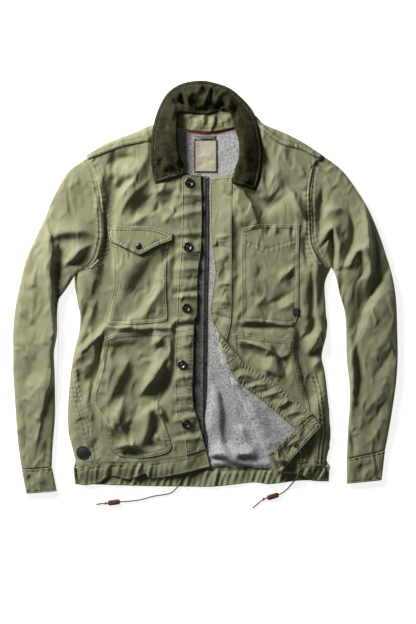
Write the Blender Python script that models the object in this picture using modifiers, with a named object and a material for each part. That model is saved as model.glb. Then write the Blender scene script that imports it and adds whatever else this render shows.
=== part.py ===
"""Chore coat laid open-fronted on its back, right lower corner turned back, drawcord ends out.

The tables and sizes are in millimetres and become metres in the meshes. X is to the right
and Y towards the collar as seen from above, Z is up from the surface that the coat lies on.
"""

import math
from collections import namedtuple

import bmesh
import bpy
from mathutils import Vector
from mathutils.bvhtree import BVHTree

MM = 0.001

Turn = namedtuple("Turn", "radius height")

# cloth and gaps
TWILL = 1.2
DOUBLE_TWILL = 2.2
FLEECE = 1.5
PILE = 2.4
TAPE = 1.0
SEAM = 0.3
LAID_ON = TWILL + SEAM + 0.1
ARMPIT_ROOM = 6.0

# how the coat lies
BODY_RISE = 11.6
CENTRE_RISE = 6.6
CENTRE_HALF = 8.0
CENTRE_EASE = 34.0
SIDE_RADIUS = 16.0
SIDE_FOOT = 1.5
HEM_RISE = 4.4
HEM_EASE = 40.0
COAT_FOOT = -396.0
ARMPIT_EASE = 30.0
LOWEST_FRONT = 4.4

# fastenings and trim
BUTTON_PROFILE = [
    Turn(0.0, 3.6), Turn(2.2, 3.6), Turn(2.6, 2.2), Turn(4.6, 2.2), Turn(6.2, 4.0), Turn(8.4, 4.0),
    Turn(9.5, 2.4), Turn(9.5, 0.4), Turn(8.7, 0.0), Turn(0.0, 0.0),
]
SNAP_PROFILE = [
    Turn(0.0, 3.0), Turn(2.9, 2.76), Turn(5.2, 1.98), Turn(6.5, 0.75), Turn(6.5, 0.0), Turn(0.0, 0.0),
]
BADGE_PROFILE = [Turn(0.0, 1.2), Turn(12.9, 1.2), Turn(13.5, 0.7), Turn(13.5, 0.0), Turn(0.0, 0.0)]
EYELET_PROFILE = [Turn(2.2, 0.9), Turn(3.9, 1.1), Turn(4.5, 0.5), Turn(4.5, 0.0), Turn(2.2, 0.0)]
CORD_DIAMETER = 2.8
CORD_STEP = 6.4
CORD_CLEARANCE = 0.6
CORD_OVER_EYELET = 3.0
TOGGLE_LENGTH = 24.0
TOGGLE_WIDTH = 11.0
TOGGLE_HEIGHT = 6.4
TOGGLE_BORE = 4.0

# turned corner of the right front
ROLL_RADIUS = 4.2
CORNER_LIFT = 6.0
CORNER_EASE = 45.0

OLIVE = (0.19, 0.19, 0.095)
DARK_OLIVE = (0.035, 0.034, 0.015)
HEATHER = (0.38, 0.38, 0.37)
CHARCOAL = (0.03, 0.028, 0.024)
CREAM = (0.62, 0.55, 0.42)
GREY = (0.12, 0.12, 0.11)
RED = (0.45, 0.02, 0.015)
TOGGLE_BROWN = (0.25, 0.07, 0.04)

Place = namedtuple("Place", "x y")
Fold = namedtuple("Fold", "x0 y0 x1 y1 half rise")
SleeveRow = namedtuple("SleeveRow", "outer_x outer_y inner_x inner_y rise bow")
CollarRow = namedtuple("CollarRow", "outer_x outer_y roll_x roll_y outer_z roll_z")
YokeRow = namedtuple("YokeRow", "outer_x outer_y seam_x seam_y")
RingPoint = namedtuple("RingPoint", "across up")


def places(*pairs):
    return [Place(*pair) for pair in pairs]


# seams and edges of the left side of the picture
ARMHOLE_LEFT = places(
    (-241, 261), (-226, 231), (-216, 185), (-211, 134), (-211, 101), (-221, 62), (-239, 40), (-261, 31),
)
SIDE_LEFT = places(
    (-261, 31), (-258, -22), (-252, -54), (-254, -86), (-262, -118), (-268, -150), (-272, -182),
    (-276, -230), (-276, -278), (-270, -310), (-262, -342), (-258, -374), (-252, -400),
)
NECK_LEFT = places((-92, 300), (-84, 282), (-76, 262), (-64, 242), (-41, 228), (-10, 231))
FRONT_EDGE_LEFT = places(
    (-10, 231), (-8, 146), (-10, 75), (-16, 34), (-18, -48), (-23, -62), (-25, -135),
    (-26, -223), (-14, -269), (0, -321),
)
PLACKET_STITCH_LEFT = places(
    (-47, 226), (-48, 136), (-50, 75), (-56, 4), (-62, -165), (-61, -209), (-58, -252),
    (-44, -292), (-39, -332),
)
HEM_SEAM_LEFT = places((0, -321), (-37, -333), (-131, -346), (-200, -347), (-264, -358))
HEM_EDGE_LEFT = places(
    (8, -356), (-49, -370), (-108, -380), (-122, -370), (-154, -381), (-189, -374),
    (-202, -379), (-214, -388), (-241, -393), (-262, -391),
)

# and of the right side
ARMHOLE_RIGHT = places(
    (236, 266), (220, 246), (215, 226), (211, 190), (212, 139), (215, 94), (226, 68), (239, 50),
    (250, 44),
)
SIDE_RIGHT = places(
    (250, 44), (238, 10), (240, -38), (242, -86), (232, -134), (238, -166), (244, -214),
    (248, -262), (248, -310), (242, -342), (240, -374), (234, -400),
)
NECK_RIGHT = places((9, 220), (41, 228), (60, 236), (74, 258), (80, 288), (82, 314), (87, 334))
FRONT_EDGE_RIGHT = places(
    (9, 220), (8, 189), (9, 127), (11, 91), (15, 64), (18, 32), (13, -7), (9, -52), (24, -86),
)
HEM_SEAM_RIGHT = places((141, -355), (188, -356), (250, -354))
HEM_EDGE_RIGHT = places((250, -386), (212, -384), (200, -376), (180, -370), (148, -368))

# turned corner: where it folds, its front edge, its hem edge
CORNER_FOLD = places((24, -86), (146, -372))
CORNER_FRONT_EDGE = places((25, -86), (72, -142), (121, -175), (152, -198), (210, -246), (230, -273))
CORNER_HEM_EDGE = places((230, -273), (189, -319), (150, -364))
CORNER_ROLL_SIDE = places((126, -374), (8, -84))
CORNER_BAND = places(
    (208.5, -249.5), (229, -273), (188.5, -318.5), (151, -361), (137, -330), (136, -324.5),
    (179.5, -280.7),
)
FACING_TOP = Place(27, -92)
FACING_FOOT = places((207, -248), (179, -279))
CORNER_LINING_FOOT = places((134, -323), (124, -318))
FACING_SEAM = places((24, -112), (29, -144), (38, -161), (72, -193), (113, -224), (142, -249), (178, -280))

YOKE_LEFT = [
    YokeRow(-102, 330, -96, 301),
    YokeRow(-142, 314, -132, 295),
    YokeRow(-186, 298, -170, 287),
    YokeRow(-218, 282, -202, 275),
    YokeRow(-240, 268, -236, 262),
]
YOKE_RIGHT = [
    YokeRow(92, 350, 88, 336),
    YokeRow(116, 331, 114, 317),
    YokeRow(156, 314, 148, 293),
    YokeRow(188, 298, 188, 282),
    YokeRow(212, 283, 210, 270),
    YokeRow(232, 270, 228, 264),
]

# largest folds of the fronts: a ridge rises, a trough has a negative rise
FOLDS_LEFT = [
    Fold(-112, 228, -175, 140, 14, -3.0),
    Fold(-58, 212, -95, 150, 12, -2.5),
    Fold(-181, 238, -195, 136, 11, -3.0),
    Fold(-192, 110, -222, -68, 12, -3.2),
    Fold(-83, 44, -150, -58, 18, -3.6),
    Fold(-210, -80, -75, -78, 12, 2.5),
    Fold(-154, -130, -142, -212, 16, -3.6),
    Fold(-90, -142, -134, -212, 18, 5.0),
    Fold(-170, -300, -124, -322, 22, 5.0),
    Fold(-240, -150, -240, -320, 14, -2.5),
]
FOLDS_RIGHT = [
    Fold(64, 198, 104, 131, 12, 3.0),
    Fold(62, 190, 62, -60, 9, -2.5),
    Fold(110, -140, 160, -120, 24, 5.0),
    Fold(110, 220, 180, 160, 16, 2.5),
    Fold(205, -90, 222, -240, 14, -3.2),
    Fold(205, 60, 205, -60, 12, -3.0),
]

# one sleeve section: up its outside, over the top, and back along the flat underside
RING = [
    RingPoint(0.0, 0.45), RingPoint(0.035, 0.80), RingPoint(0.13, 0.97), RingPoint(0.34, 1.0),
    RingPoint(0.60, 1.0), RingPoint(0.83, 0.97), RingPoint(0.965, 0.80), RingPoint(1.0, 0.45),
    RingPoint(0.975, 0.10), RingPoint(0.90, 0.0), RingPoint(0.62, 0.0), RingPoint(0.34, 0.0),
    RingPoint(0.10, 0.0), RingPoint(0.025, 0.10),
]
TOP_POINTS = 8

SLEEVE_LEFT = [
    SleeveRow(-241, 261, -261, 31, 13, 1.0),
    SleeveRow(-276, 234, -265, 24, 15, 0.72),
    SleeveRow(-304, 186, -272, 12, 17, 0.45),
    SleeveRow(-324, 138, -279, 1, 19, 0.25),
    SleeveRow(-343, 98, -287, -10, 21, 0.1),
    SleeveRow(-360, 58, -294, -20, 19, 0.0),
    SleeveRow(-372, 10, -297, -34, 17, 0.0),
    SleeveRow(-381, -34, -298, -58, 18, 0.0),
    SleeveRow(-386, -82, -298, -90, 19, 0.0),
    SleeveRow(-386, -126, -304, -126, 17, 0.0),
    SleeveRow(-386, -166, -303, -166, 16, 0.0),
    SleeveRow(-383, -214, -302, -214, 17, 0.0),
    SleeveRow(-380, -262, -303, -262, 16, 0.0),
    SleeveRow(-376, -310, -307, -310, 15, 0.0),
    SleeveRow(-369, -361, -309, -357, 13, 0.0),
]
SLEEVE_RIGHT = [
    SleeveRow(236, 266, 250, 44, 13, 1.0),
    SleeveRow(272, 238, 256, 37, 15, 0.72),
    SleeveRow(302, 198, 260, 26, 17, 0.45),
    SleeveRow(326, 158, 263, 12, 19, 0.25),
    SleeveRow(345, 114, 266, -4, 20, 0.1),
    SleeveRow(360, 70, 271, -22, 19, 0.0),
    SleeveRow(374, 22, 277, -42, 17, 0.0),
    SleeveRow(381, -26, 280, -66, 18, 0.0),
    SleeveRow(383, -82, 281, -102, 17, 0.0),
    SleeveRow(384, -138, 282, -142, 16, 0.0),
    SleeveRow(381, -186, 287, -186, 16, 0.0),
    SleeveRow(375, -230, 288, -230, 15, 0.0),
    SleeveRow(368, -274, 285, -274, 14, 0.0),
    SleeveRow(359, -323, 282, -340, 12, 0.0),
]
CUFF_LEFT = [SleeveRow(-369, -362, -308, -358, 13, 0.0), SleeveRow(-360, -410, -299, -405, 10, 0.0)]
CUFF_RIGHT = [SleeveRow(359, -324, 282, -341, 12, 0.0), SleeveRow(352, -383, 282, -390, 10, 0.0)]

COLLAR = [
    CollarRow(-101, 210, -43, 229, 16.0, 19),
    CollarRow(-109, 238, -47, 250, 16.0, 21),
    CollarRow(-111, 266, -54, 270, 16.0, 23),
    CollarRow(-109, 304, -56, 298, 15.4, 24),
    CollarRow(-102, 342, -56, 330, 5, 24),
    CollarRow(-89, 375, -54, 349, 3, 24),
    CollarRow(-72, 398, -44, 352, 2, 23),
    CollarRow(-45, 413, -30, 350, 2, 23),
    CollarRow(-10, 418, -10, 348, 2, 23),
    CollarRow(20, 413, 10, 349, 2, 23),
    CollarRow(49, 402, 30, 356, 2, 24),
    CollarRow(74, 381, 44, 354, 3, 24),
    CollarRow(91, 361, 51, 342, 5, 25),
    CollarRow(102, 337, 57, 320, 12, 25),
    CollarRow(110, 304, 65, 294, 16.0, 24),
    CollarRow(114, 266, 65, 262, 16.4, 23),
    CollarRow(110, 228, 57, 238, 16.4, 20),
    CollarRow(99, 197, 53, 211, 16.4, 19),
]
COLLAR_CROWN = 3.0

STAND_SEAM = places((-54, 324), (-35, 317.5), (1, 314.5), (32, 316.5), (57, 323))
STAND_TOP = places((-55, 350), (-32, 347.5), (-4, 345.5), (29, 353), (47, 349))
STAND_FOOT = 3.5
STAND_RISE = 22.0
NECK_TAPE = places((-36, 312), (1, 309), (54, 316.5))
TAPE_WIDTH = 3.0

# ends of cut outlines that lie clear of the cloth they cut, and corners of the sewn-on pieces
CLEAR_LEFT = -290.0
CLEAR_RIGHT = 275.0
BAND_TOP_LEFT = -358.4
BAND_TOP_RIGHT = -354.4
SIDE_SEAM_FOOT = -350.0
PLACKET_TOP_LEFT = 224.0
PLACKET_FOOT_LEFT = Place(-38, -330)
PLACKET_INNER_RIGHT = places((52, 224), (52, -84), (40, -112))
BACK_FOOT = places((240, -356), (-256, -356))

CHEST_POCKET_LEFT = places(
    (-193, 118), (-183, 54), (-185, 4), (-200, -54), (-202, -62), (-195, -70), (-171, -72), (-87, -66),
    (-76, -54), (-79, -6), (-79, 34), (-75, 96), (-72, 112),
)
CHEST_FLAP_LEFT = places(
    (-198, 125), (-112, 124), (-66, 111), (-68, 97), (-100, 85), (-132, 68), (-164, 82), (-193, 96),
)
CHEST_POCKET_RIGHT = places(
    (72, 120), (88, 125), (113, 129), (188, 129), (186, 20), (185, -52), (184, -66), (176, -73),
    (149, -72), (74, -64), (71, -54), (71, 28),
)
POCKET_TAB = places((173, -38), (185, -38), (185, -53), (173, -53))
LOWER_POCKET_LEFT = places(
    (-202, -96), (-177, -90), (-95, -85), (-72, -90), (-68, -142), (-76, -182), (-88, -211),
    (-95, -236), (-83, -268), (-72, -301), (-68, -315), (-74, -328), (-122, -338), (-170, -335),
    (-191, -321), (-200, -292), (-216, -259), (-228, -223), (-221, -191), (-212, -163), (-204, -108),
)
LOWER_POCKET_RIGHT = places(
    (52, -89), (113, -96), (179, -103), (186, -159), (196, -198), (207, -236), (210, -302), (204, -346),
    (150, -350), (60, -170),
)
ZIP_TAPE = places(
    (-14, 227), (5, 227), (5, 78), (1, -62), (-3, -222), (0, -316), (-12, -318), (-34, -222),
    (-34, -130), (-26, -40), (-24, 34), (-18, 78),
)
BUTTONS = places((-33, 212), (-36, 84), (-39, -38), (-48, -151), (-39, -270))
FLAP_SNAP = Place(-134, 85)
HEM_BADGE = Place(-246, -327)
HEM_EYELET = Place(179, -312)

BACK_NECK = places((-102, 330), (-55, 325), (0, 319), (50, 329), (92, 350))
LINING = places(
    (-94, 318), (-56, 322), (0, 315), (57, 321), (80, 324), (186, 255), (198, 98), (222, 18),
    (228, -346), (-244, -346), (-240, -22), (-200, 98), (-204, 230),
)
HANGER_LOOP = places((-22, 306.5), (20, 307.5), (18, 301), (-10, 301))
NECK_LABEL = places((-24, 300), (22, 300), (22, 234), (-24, 234))
HEM_BACK_TOP = places((-255, -356.3), (239, -356.3))
HEM_BACK_EDGE = places(
    (236, -385), (190, -384), (128, -391), (94, -388), (18, -396), (-51, -396), (-120, -395),
    (-246, -391),
)

# cord routes from their exits; each point lies on what is under it
CORD_LEFT = places(
    (-47, -375), (-51, -385), (-56, -395), (-64, -404), (-74, -410), (-90, -413), (-108, -416),
    (-130, -422), (-150, -425), (-165, -426.2), (-172, -426.5), (-184, -427.5), (-197, -429),
    (-203, -429.5), (-209, -430), (-220, -432),
)
CORD_RIGHT = places(
    (179, -312), (184, -317), (188, -324), (190, -333), (190, -342), (188, -355), (185, -367),
    (181, -377), (174, -388), (165, -399), (154, -408), (145, -412), (134, -415.5), (122, -419),
    (114, -422), (104, -430), (94, -439),
)
TOGGLE_LEFT = (Place(-184.5, -427.6), 187.0)
TOGGLE_RIGHT = (Place(134, -415.6), 197.0)


def new_collection(name):
    collection = bpy.data.collections.new(name)
    bpy.context.scene.collection.children.link(collection)
    return collection


for old in list(bpy.data.objects):
    bpy.data.objects.remove(old)
COAT = new_collection("chore_coat")
GUIDES = new_collection("guides_and_cutters")


def material(name, colour, roughness=0.85, metallic=0.0):
    made = bpy.data.materials.new(name)
    made.use_nodes = True
    shader = made.node_tree.nodes["Principled BSDF"]
    shader.inputs["Base Color"].default_value = (*colour, 1.0)
    shader.inputs["Roughness"].default_value = roughness
    shader.inputs["Metallic"].default_value = metallic
    return made


def object_of(name, mesh, colour=None, roughness=0.85, metallic=0.0):
    """Links a mesh as a piece of the coat or, without a colour, as a hidden guide."""
    made = bpy.data.objects.new(name, mesh)
    if colour is None:
        GUIDES.objects.link(made)
        made.hide_render = True
        made.display_type = "WIRE"
    else:
        COAT.objects.link(made)
        made.data.materials.clear()
        made.data.materials.append(material(name, colour, roughness, metallic))
    return made


def mesh_from(bm, name):
    mesh = bpy.data.meshes.new(name)
    bm.to_mesh(mesh)
    bm.free()
    return mesh


# --- curves through tables -------------------------------------------------------------


def mix(a, b, t):
    return a + (b - a) * t


def spline(values, t):
    """Catmull-Rom value at t from 0 to 1 along equally spaced values."""
    last = len(values) - 1
    at = min(max(t, 0.0), 1.0) * last
    i = min(int(at), last - 1)
    f = at - i
    p1, p2 = values[i], values[i + 1]
    p0 = values[i - 1] if i > 0 else 2 * p1 - p2
    p3 = values[i + 2] if i + 2 <= last else 2 * p2 - p1
    bend = 2 * p0 - 5 * p1 + 4 * p2 - p3
    turn = 3 * p1 - p0 - 3 * p2 + p3
    return 0.5 * (2 * p1 + (p2 - p0) * f + bend * f ** 2 + turn * f ** 3)


def row_at(rows, t):
    """The row of a table read smoothly at t from 0 to 1."""
    return type(rows[0])(*(spline([row[k] for row in rows], t) for k in range(len(rows[0]))))


def x_at(edge, y):
    """X of an edge that runs down the coat, at one Y."""
    if y >= edge[0].y:
        return edge[0].x
    for upper, lower in zip(edge, edge[1:]):
        if lower.y <= y:
            return mix(upper.x, lower.x, (upper.y - y) / (upper.y - lower.y))
    return edge[-1].x


def along(edge, fractions):
    """Points of an edge at fractions of its drawn length."""
    steps = [math.hypot(b.x - a.x, b.y - a.y) for a, b in zip(edge, edge[1:])]
    total = sum(steps)
    found = []
    for fraction in fractions:
        left = fraction * total
        for (a, b), step in zip(zip(edge, edge[1:]), steps):
            if left <= step or b is edge[-1]:
                part = min(left / step, 1.0)
                found.append(Place(mix(a.x, b.x, part), mix(a.y, b.y, part)))
                break
            left -= step
    return found


def moved(edge, dx=0.0, dy=0.0):
    return [Place(p.x + dx, p.y + dy) for p in edge]


# --- height of the fronts above the surface -----------------------------------------------


def fold_height(fold, x, y):
    run = Vector((fold.x1 - fold.x0, fold.y1 - fold.y0))
    start = Vector((x - fold.x0, y - fold.y0))
    t = start.dot(run) / run.length_squared
    nearest = min(max(t, 0.0), 1.0)
    away = (start - run * nearest).length
    return fold.rise * math.exp(-((away / fold.half) ** 2))


def ease(t):
    t = min(max(t, 0.0), 1.0)
    return t * t * (3 - 2 * t)


def front_underside(side_edge, folds, armpit_y, x, y):
    """Underside of a front: rounded down at the side seam, lower at the front edge and the hem."""
    rise = mix(CENTRE_RISE, BODY_RISE, ease((abs(x) - CENTRE_HALF) / CENTRE_EASE))
    rise = mix(HEM_RISE, rise, ease((y - COAT_FOOT) / HEM_EASE))
    rise += sum(fold_height(fold, x, y) for fold in folds)
    rise = max(rise, LOWEST_FRONT)
    inset = abs(x - x_at(side_edge, y))
    if y < armpit_y + ARMPIT_EASE and inset < SIDE_RADIUS:
        rounded = mix(SIDE_FOOT, rise, math.sqrt(1 - (1 - inset / SIDE_RADIUS) ** 2))
        rise = mix(rounded, rise, ease((y - armpit_y) / ARMPIT_EASE))
    return rise


# --- sheets -------------------------------------------------------------------------------


def sheet(name, across, down, place):
    """A grid whose points go where place(u, v) says, in millimetres, with u and v from 0 to 1."""
    bm = bmesh.new()
    bmesh.ops.create_grid(bm, x_segments=across, y_segments=down, size=0.5)
    for vert in bm.verts:
        vert.co = Vector(place(vert.co.x + 0.5, vert.co.y + 0.5)) * MM
    bmesh.ops.triangulate(bm, faces=bm.faces)
    return mesh_from(bm, name)


def tube(name, around, down, place):
    """The same with its two long edges joined, so the sheet closes into a tube."""
    bm = bmesh.new()
    bmesh.ops.create_grid(bm, x_segments=around, y_segments=down, size=0.5)
    for vert in bm.verts:
        vert.co = Vector(place(vert.co.x + 0.5, vert.co.y + 0.5)) * MM
    bmesh.ops.remove_doubles(bm, verts=bm.verts, dist=1e-6)
    return mesh_from(bm, name)


def thicken(piece, thickness, outwards=1.0):
    wall = piece.modifiers.new("wall", "SOLIDIFY")
    wall.thickness = thickness * MM
    wall.offset = outwards
    return piece


def prism(name, outline, low=-30.0, high=90.0):
    """A closed block over a flat outline, as a mesh."""
    curve = bpy.data.curves.new(name, "CURVE")
    curve.dimensions = "2D"
    curve.fill_mode = "BOTH"
    curve.extrude = (high - low) / 2 * MM
    line = curve.splines.new("POLY")
    line.points.add(len(outline) - 1)
    line.use_cyclic_u = True
    for point, corner in zip(line.points, outline):
        point.co = (corner.x * MM, corner.y * MM, 0.0, 1.0)
    drawn = bpy.data.objects.new(name, curve)
    GUIDES.objects.link(drawn)
    graph = bpy.context.evaluated_depsgraph_get()
    mesh = bpy.data.meshes.new_from_object(drawn.evaluated_get(graph))
    bpy.data.objects.remove(drawn)
    bm = bmesh.new()
    bm.from_mesh(mesh)
    bmesh.ops.remove_doubles(bm, verts=bm.verts, dist=1e-6)
    bmesh.ops.translate(bm, verts=bm.verts, vec=(0, 0, (high + low) / 2 * MM))
    bmesh.ops.recalc_face_normals(bm, faces=bm.faces)
    return mesh_from(bm, name)


def cut_from(guide, name, outline, lift, thickness, colour, roughness=0.85):
    """Cloth with a guide sheet's own points, moved out by lift, thickened and cut to an outline."""
    piece = object_of(name, guide.copy(), colour, roughness)
    out = [vert.normal.copy() for vert in guide.vertices]
    for vert, way in zip(piece.data.vertices, out):
        vert.co += way * lift * MM
    thicken(piece, thickness)
    cutter = object_of(name + "_outline", prism(name + "_outline", outline))
    trim = piece.modifiers.new("outline", "BOOLEAN")
    trim.operation = "INTERSECT"
    trim.object = cutter
    return piece


def slab(name, outline, low, high, colour, roughness=0.85):
    return object_of(name, prism(name, outline, low, high), colour, roughness)


RING_SPOTS = 12


def top_at(names, x, y, reach=0.0):
    """Highest point of the named pieces under a spot, or under a ring of that reach around it."""
    graph = bpy.context.evaluated_depsgraph_get()
    spots = [(x, y)]
    if reach:
        turns = [2 * math.pi * k / RING_SPOTS for k in range(RING_SPOTS)]
        spots += [(x + reach * math.cos(turn), y + reach * math.sin(turn)) for turn in turns]
    highest = 0.0
    for name in names:
        tree = BVHTree.FromObject(COAT.objects[name], graph)
        for spot in spots:
            hit = tree.ray_cast(Vector((spot[0] * MM, spot[1] * MM, 0.2)), Vector((0, 0, -1)))[0]
            if hit:
                highest = max(highest, hit.z / MM)
    return highest


# --- guide sheets: where the cloth of each front lies ---------------------------------------

GUIDE_INSETS = (0.0, 1.2, 4.5, 10.0, 18.0)
GUIDE_COLUMNS = 13
GUIDE_ROWS = 24
GUIDE_TOP = 322.0
GUIDE_FOOT = -399.0


def guide_columns(width):
    """Distances in from the side seam, close together where the cloth rounds down."""
    rest = GUIDE_COLUMNS - len(GUIDE_INSETS)
    even = [mix(GUIDE_INSETS[-1], width, (k + 1) / rest) for k in range(rest)]
    return list(GUIDE_INSETS) + even


def front_guide(name, side_edge, armhole, folds, centre_x, way):
    """Way is 1 where X grows from the side seam to the centre, -1 on the other side."""
    armpit_y = armhole[-1].y

    def place(u, v):
        y = mix(GUIDE_FOOT, GUIDE_TOP, v)
        bound = x_at(side_edge, y)
        if y > armpit_y:
            bound = x_at(armhole, y) - 8 * way
        inset = guide_columns(abs(centre_x - bound))[round((u if way > 0 else 1 - u) * (GUIDE_COLUMNS - 1))]
        x = bound + way * inset
        return x, y, front_underside(side_edge, folds, armpit_y, x, y)

    return sheet(name, GUIDE_COLUMNS - 1, GUIDE_ROWS - 1, place)


def outside(side_edge, way, low):
    """The side of a front's outline, kept outside its guide so that the rounded edge stays."""
    return [Place(p.x - way * (4 + (6 if p.y < 0 else 0)), p.y) for p in side_edge[1:] if p.y > low]


def armhole_points(armhole, ring, dx):
    """The armhole's points that the sleeve's section uses, with more room at the armpit."""
    points = moved(along(armhole, [point.across for point in ring]), dx)
    return [Place(p.x + ARMPIT_ROOM * dx, p.y) if near.across > 0.97 else p for p, near in zip(points, ring)]


def make_fronts():
    guide_left = front_guide("front_guide_left", SIDE_LEFT, ARMHOLE_LEFT, FOLDS_LEFT, 12.0, 1)
    guide_right = front_guide("front_guide_right", SIDE_RIGHT, ARMHOLE_RIGHT, FOLDS_RIGHT, 0.0, -1)
    armhole_left = armhole_points(ARMHOLE_LEFT, RING[:TOP_POINTS], SEAM)
    armhole_right = armhole_points(ARMHOLE_RIGHT, RING[:TOP_POINTS], -SEAM)
    shoulder_left = [Place(row.seam_x, row.seam_y - SEAM) for row in YOKE_LEFT]
    shoulder_right = [Place(row.seam_x, row.seam_y - SEAM) for row in YOKE_RIGHT]

    outline = NECK_LEFT + FRONT_EDGE_LEFT[1:] + HEM_SEAM_LEFT[1:] + [Place(CLEAR_LEFT, HEM_SEAM_LEFT[-1].y)]
    outline += outside(SIDE_LEFT, 1, SIDE_SEAM_FOOT)[::-1] + armhole_left[::-1] + shoulder_left[1:][::-1]
    cut_from(guide_left, "front_left", outline, 0, TWILL, OLIVE)
    band = moved(HEM_SEAM_LEFT, 0, -SEAM - 0.1) + [Place(CLEAR_LEFT, BAND_TOP_LEFT)]
    band += [Place(CLEAR_LEFT, COAT_FOOT)] + HEM_EDGE_LEFT[::-1]
    cut_from(guide_left, "hem_band_left", band, 0, DOUBLE_TWILL, OLIVE)

    outline = NECK_RIGHT[::-1] + FRONT_EDGE_RIGHT[1:] + HEM_SEAM_RIGHT
    outline += [Place(CLEAR_RIGHT, HEM_SEAM_RIGHT[-1].y)]
    outline += outside(SIDE_RIGHT, -1, SIDE_SEAM_FOOT)[::-1] + armhole_right[::-1] + shoulder_right[1:][::-1]
    cut_from(guide_right, "front_right", outline, 0, TWILL, OLIVE)
    band = moved(HEM_SEAM_RIGHT, 0, -SEAM - 0.1) + [Place(CLEAR_RIGHT, BAND_TOP_RIGHT)]
    band += [Place(CLEAR_RIGHT, HEM_EDGE_RIGHT[0].y)] + HEM_EDGE_RIGHT
    cut_from(guide_right, "hem_band_right", band, 0, DOUBLE_TWILL, OLIVE)

    on_left = PLACKET_STITCH_LEFT + [FRONT_EDGE_LEFT[-1]] + FRONT_EDGE_LEFT[:-1][::-1]
    on_left = [Place(p.x, min(p.y, PLACKET_TOP_LEFT)) for p in on_left]
    on_left[len(PLACKET_STITCH_LEFT) - 1] = PLACKET_FOOT_LEFT
    cut_from(guide_left, "placket_left", on_left, LAID_ON, TWILL, OLIVE)
    on_right = PLACKET_INNER_RIGHT + FRONT_EDGE_RIGHT[::-1]
    cut_from(guide_right, "placket_right", on_right, LAID_ON, TWILL, OLIVE)
    cut_from(guide_left, "zip_tape", ZIP_TAPE, -LAID_ON, TAPE, CHARCOAL)

    cut_from(guide_left, "chest_pocket_left", CHEST_POCKET_LEFT, LAID_ON, TWILL, OLIVE)
    cut_from(guide_left, "chest_flap_left", CHEST_FLAP_LEFT, 2 * LAID_ON, DOUBLE_TWILL, OLIVE)
    cut_from(guide_right, "chest_pocket_right", CHEST_POCKET_RIGHT, LAID_ON, TWILL, OLIVE)
    cut_from(guide_right, "pocket_tab", POCKET_TAB, 2 * LAID_ON, TAPE, CHARCOAL)
    cut_from(guide_left, "lower_pocket_left", LOWER_POCKET_LEFT, LAID_ON, TWILL, OLIVE)
    cut_from(guide_right, "lower_pocket_right", LOWER_POCKET_RIGHT, LAID_ON, TWILL, OLIVE)


# --- turned corner ------------------------------------------------------------------------

ROLL_POINTS = 5
CORNER_COLUMNS = 10
CORNER_ROWS = 14
CORNER_REACH = 190.0
CORNER_SPAN = (-0.12, 1.06)


def corner_height(out, x, y):
    """Underside of the turned cloth, out millimetres from the fold."""
    on_front = front_underside(SIDE_RIGHT, FOLDS_RIGHT, ARMHOLE_RIGHT[-1].y, x, y) + TWILL
    return on_front + mix(2 * ROLL_RADIUS, CORNER_LIFT, ease(out / CORNER_EASE))


def corner_guide(name, with_roll):
    top, foot = CORNER_FOLD
    run = Vector((foot.x - top.x, foot.y - top.y))
    out_way = Vector((-run.y, run.x)).normalized()
    roll = ROLL_POINTS if with_roll else 0

    def place(u, v):
        at = Vector(top) + run * mix(*CORNER_SPAN, 1 - v)
        column = round(u * (roll + CORNER_COLUMNS))
        if column < roll:
            turn = math.pi * column / roll
            on_front = front_underside(SIDE_RIGHT, FOLDS_RIGHT, ARMHOLE_RIGHT[-1].y, at.x, at.y) + TWILL
            spot = at - out_way * ROLL_RADIUS * math.sin(turn)
            return spot.x, spot.y, on_front + ROLL_RADIUS * (1 - math.cos(turn))
        out = CORNER_REACH * (column - roll) / CORNER_COLUMNS
        spot = at + out_way * out
        return spot.x, spot.y, corner_height(out, spot.x, spot.y)

    return sheet(name, roll + CORNER_COLUMNS, CORNER_ROWS, place)


def make_corner():
    shell = corner_guide("corner_guide", True)
    turned_back = CORNER_FRONT_EDGE + CORNER_HEM_EDGE[1:] + CORNER_ROLL_SIDE
    cut_from(shell, "corner_shell", turned_back, 0, TWILL, OLIVE)
    inside = corner_guide("corner_inside_guide", False)
    facing = moved(CORNER_FRONT_EDGE[1:-1], -1, -1) + FACING_FOOT + FACING_SEAM[:-1][::-1]
    cut_from(inside, "corner_facing", [FACING_TOP] + facing, LAID_ON, TWILL, OLIVE)
    lining = moved(FACING_SEAM, -0.4, -0.6) + CORNER_LINING_FOOT
    cut_from(inside, "corner_lining", lining, LAID_ON, FLEECE, HEATHER, 0.95)
    cut_from(inside, "corner_hem_band", CORNER_BAND, LAID_ON, TWILL, OLIVE)


# --- back, lining and shoulders -------------------------------------------------------------


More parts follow.
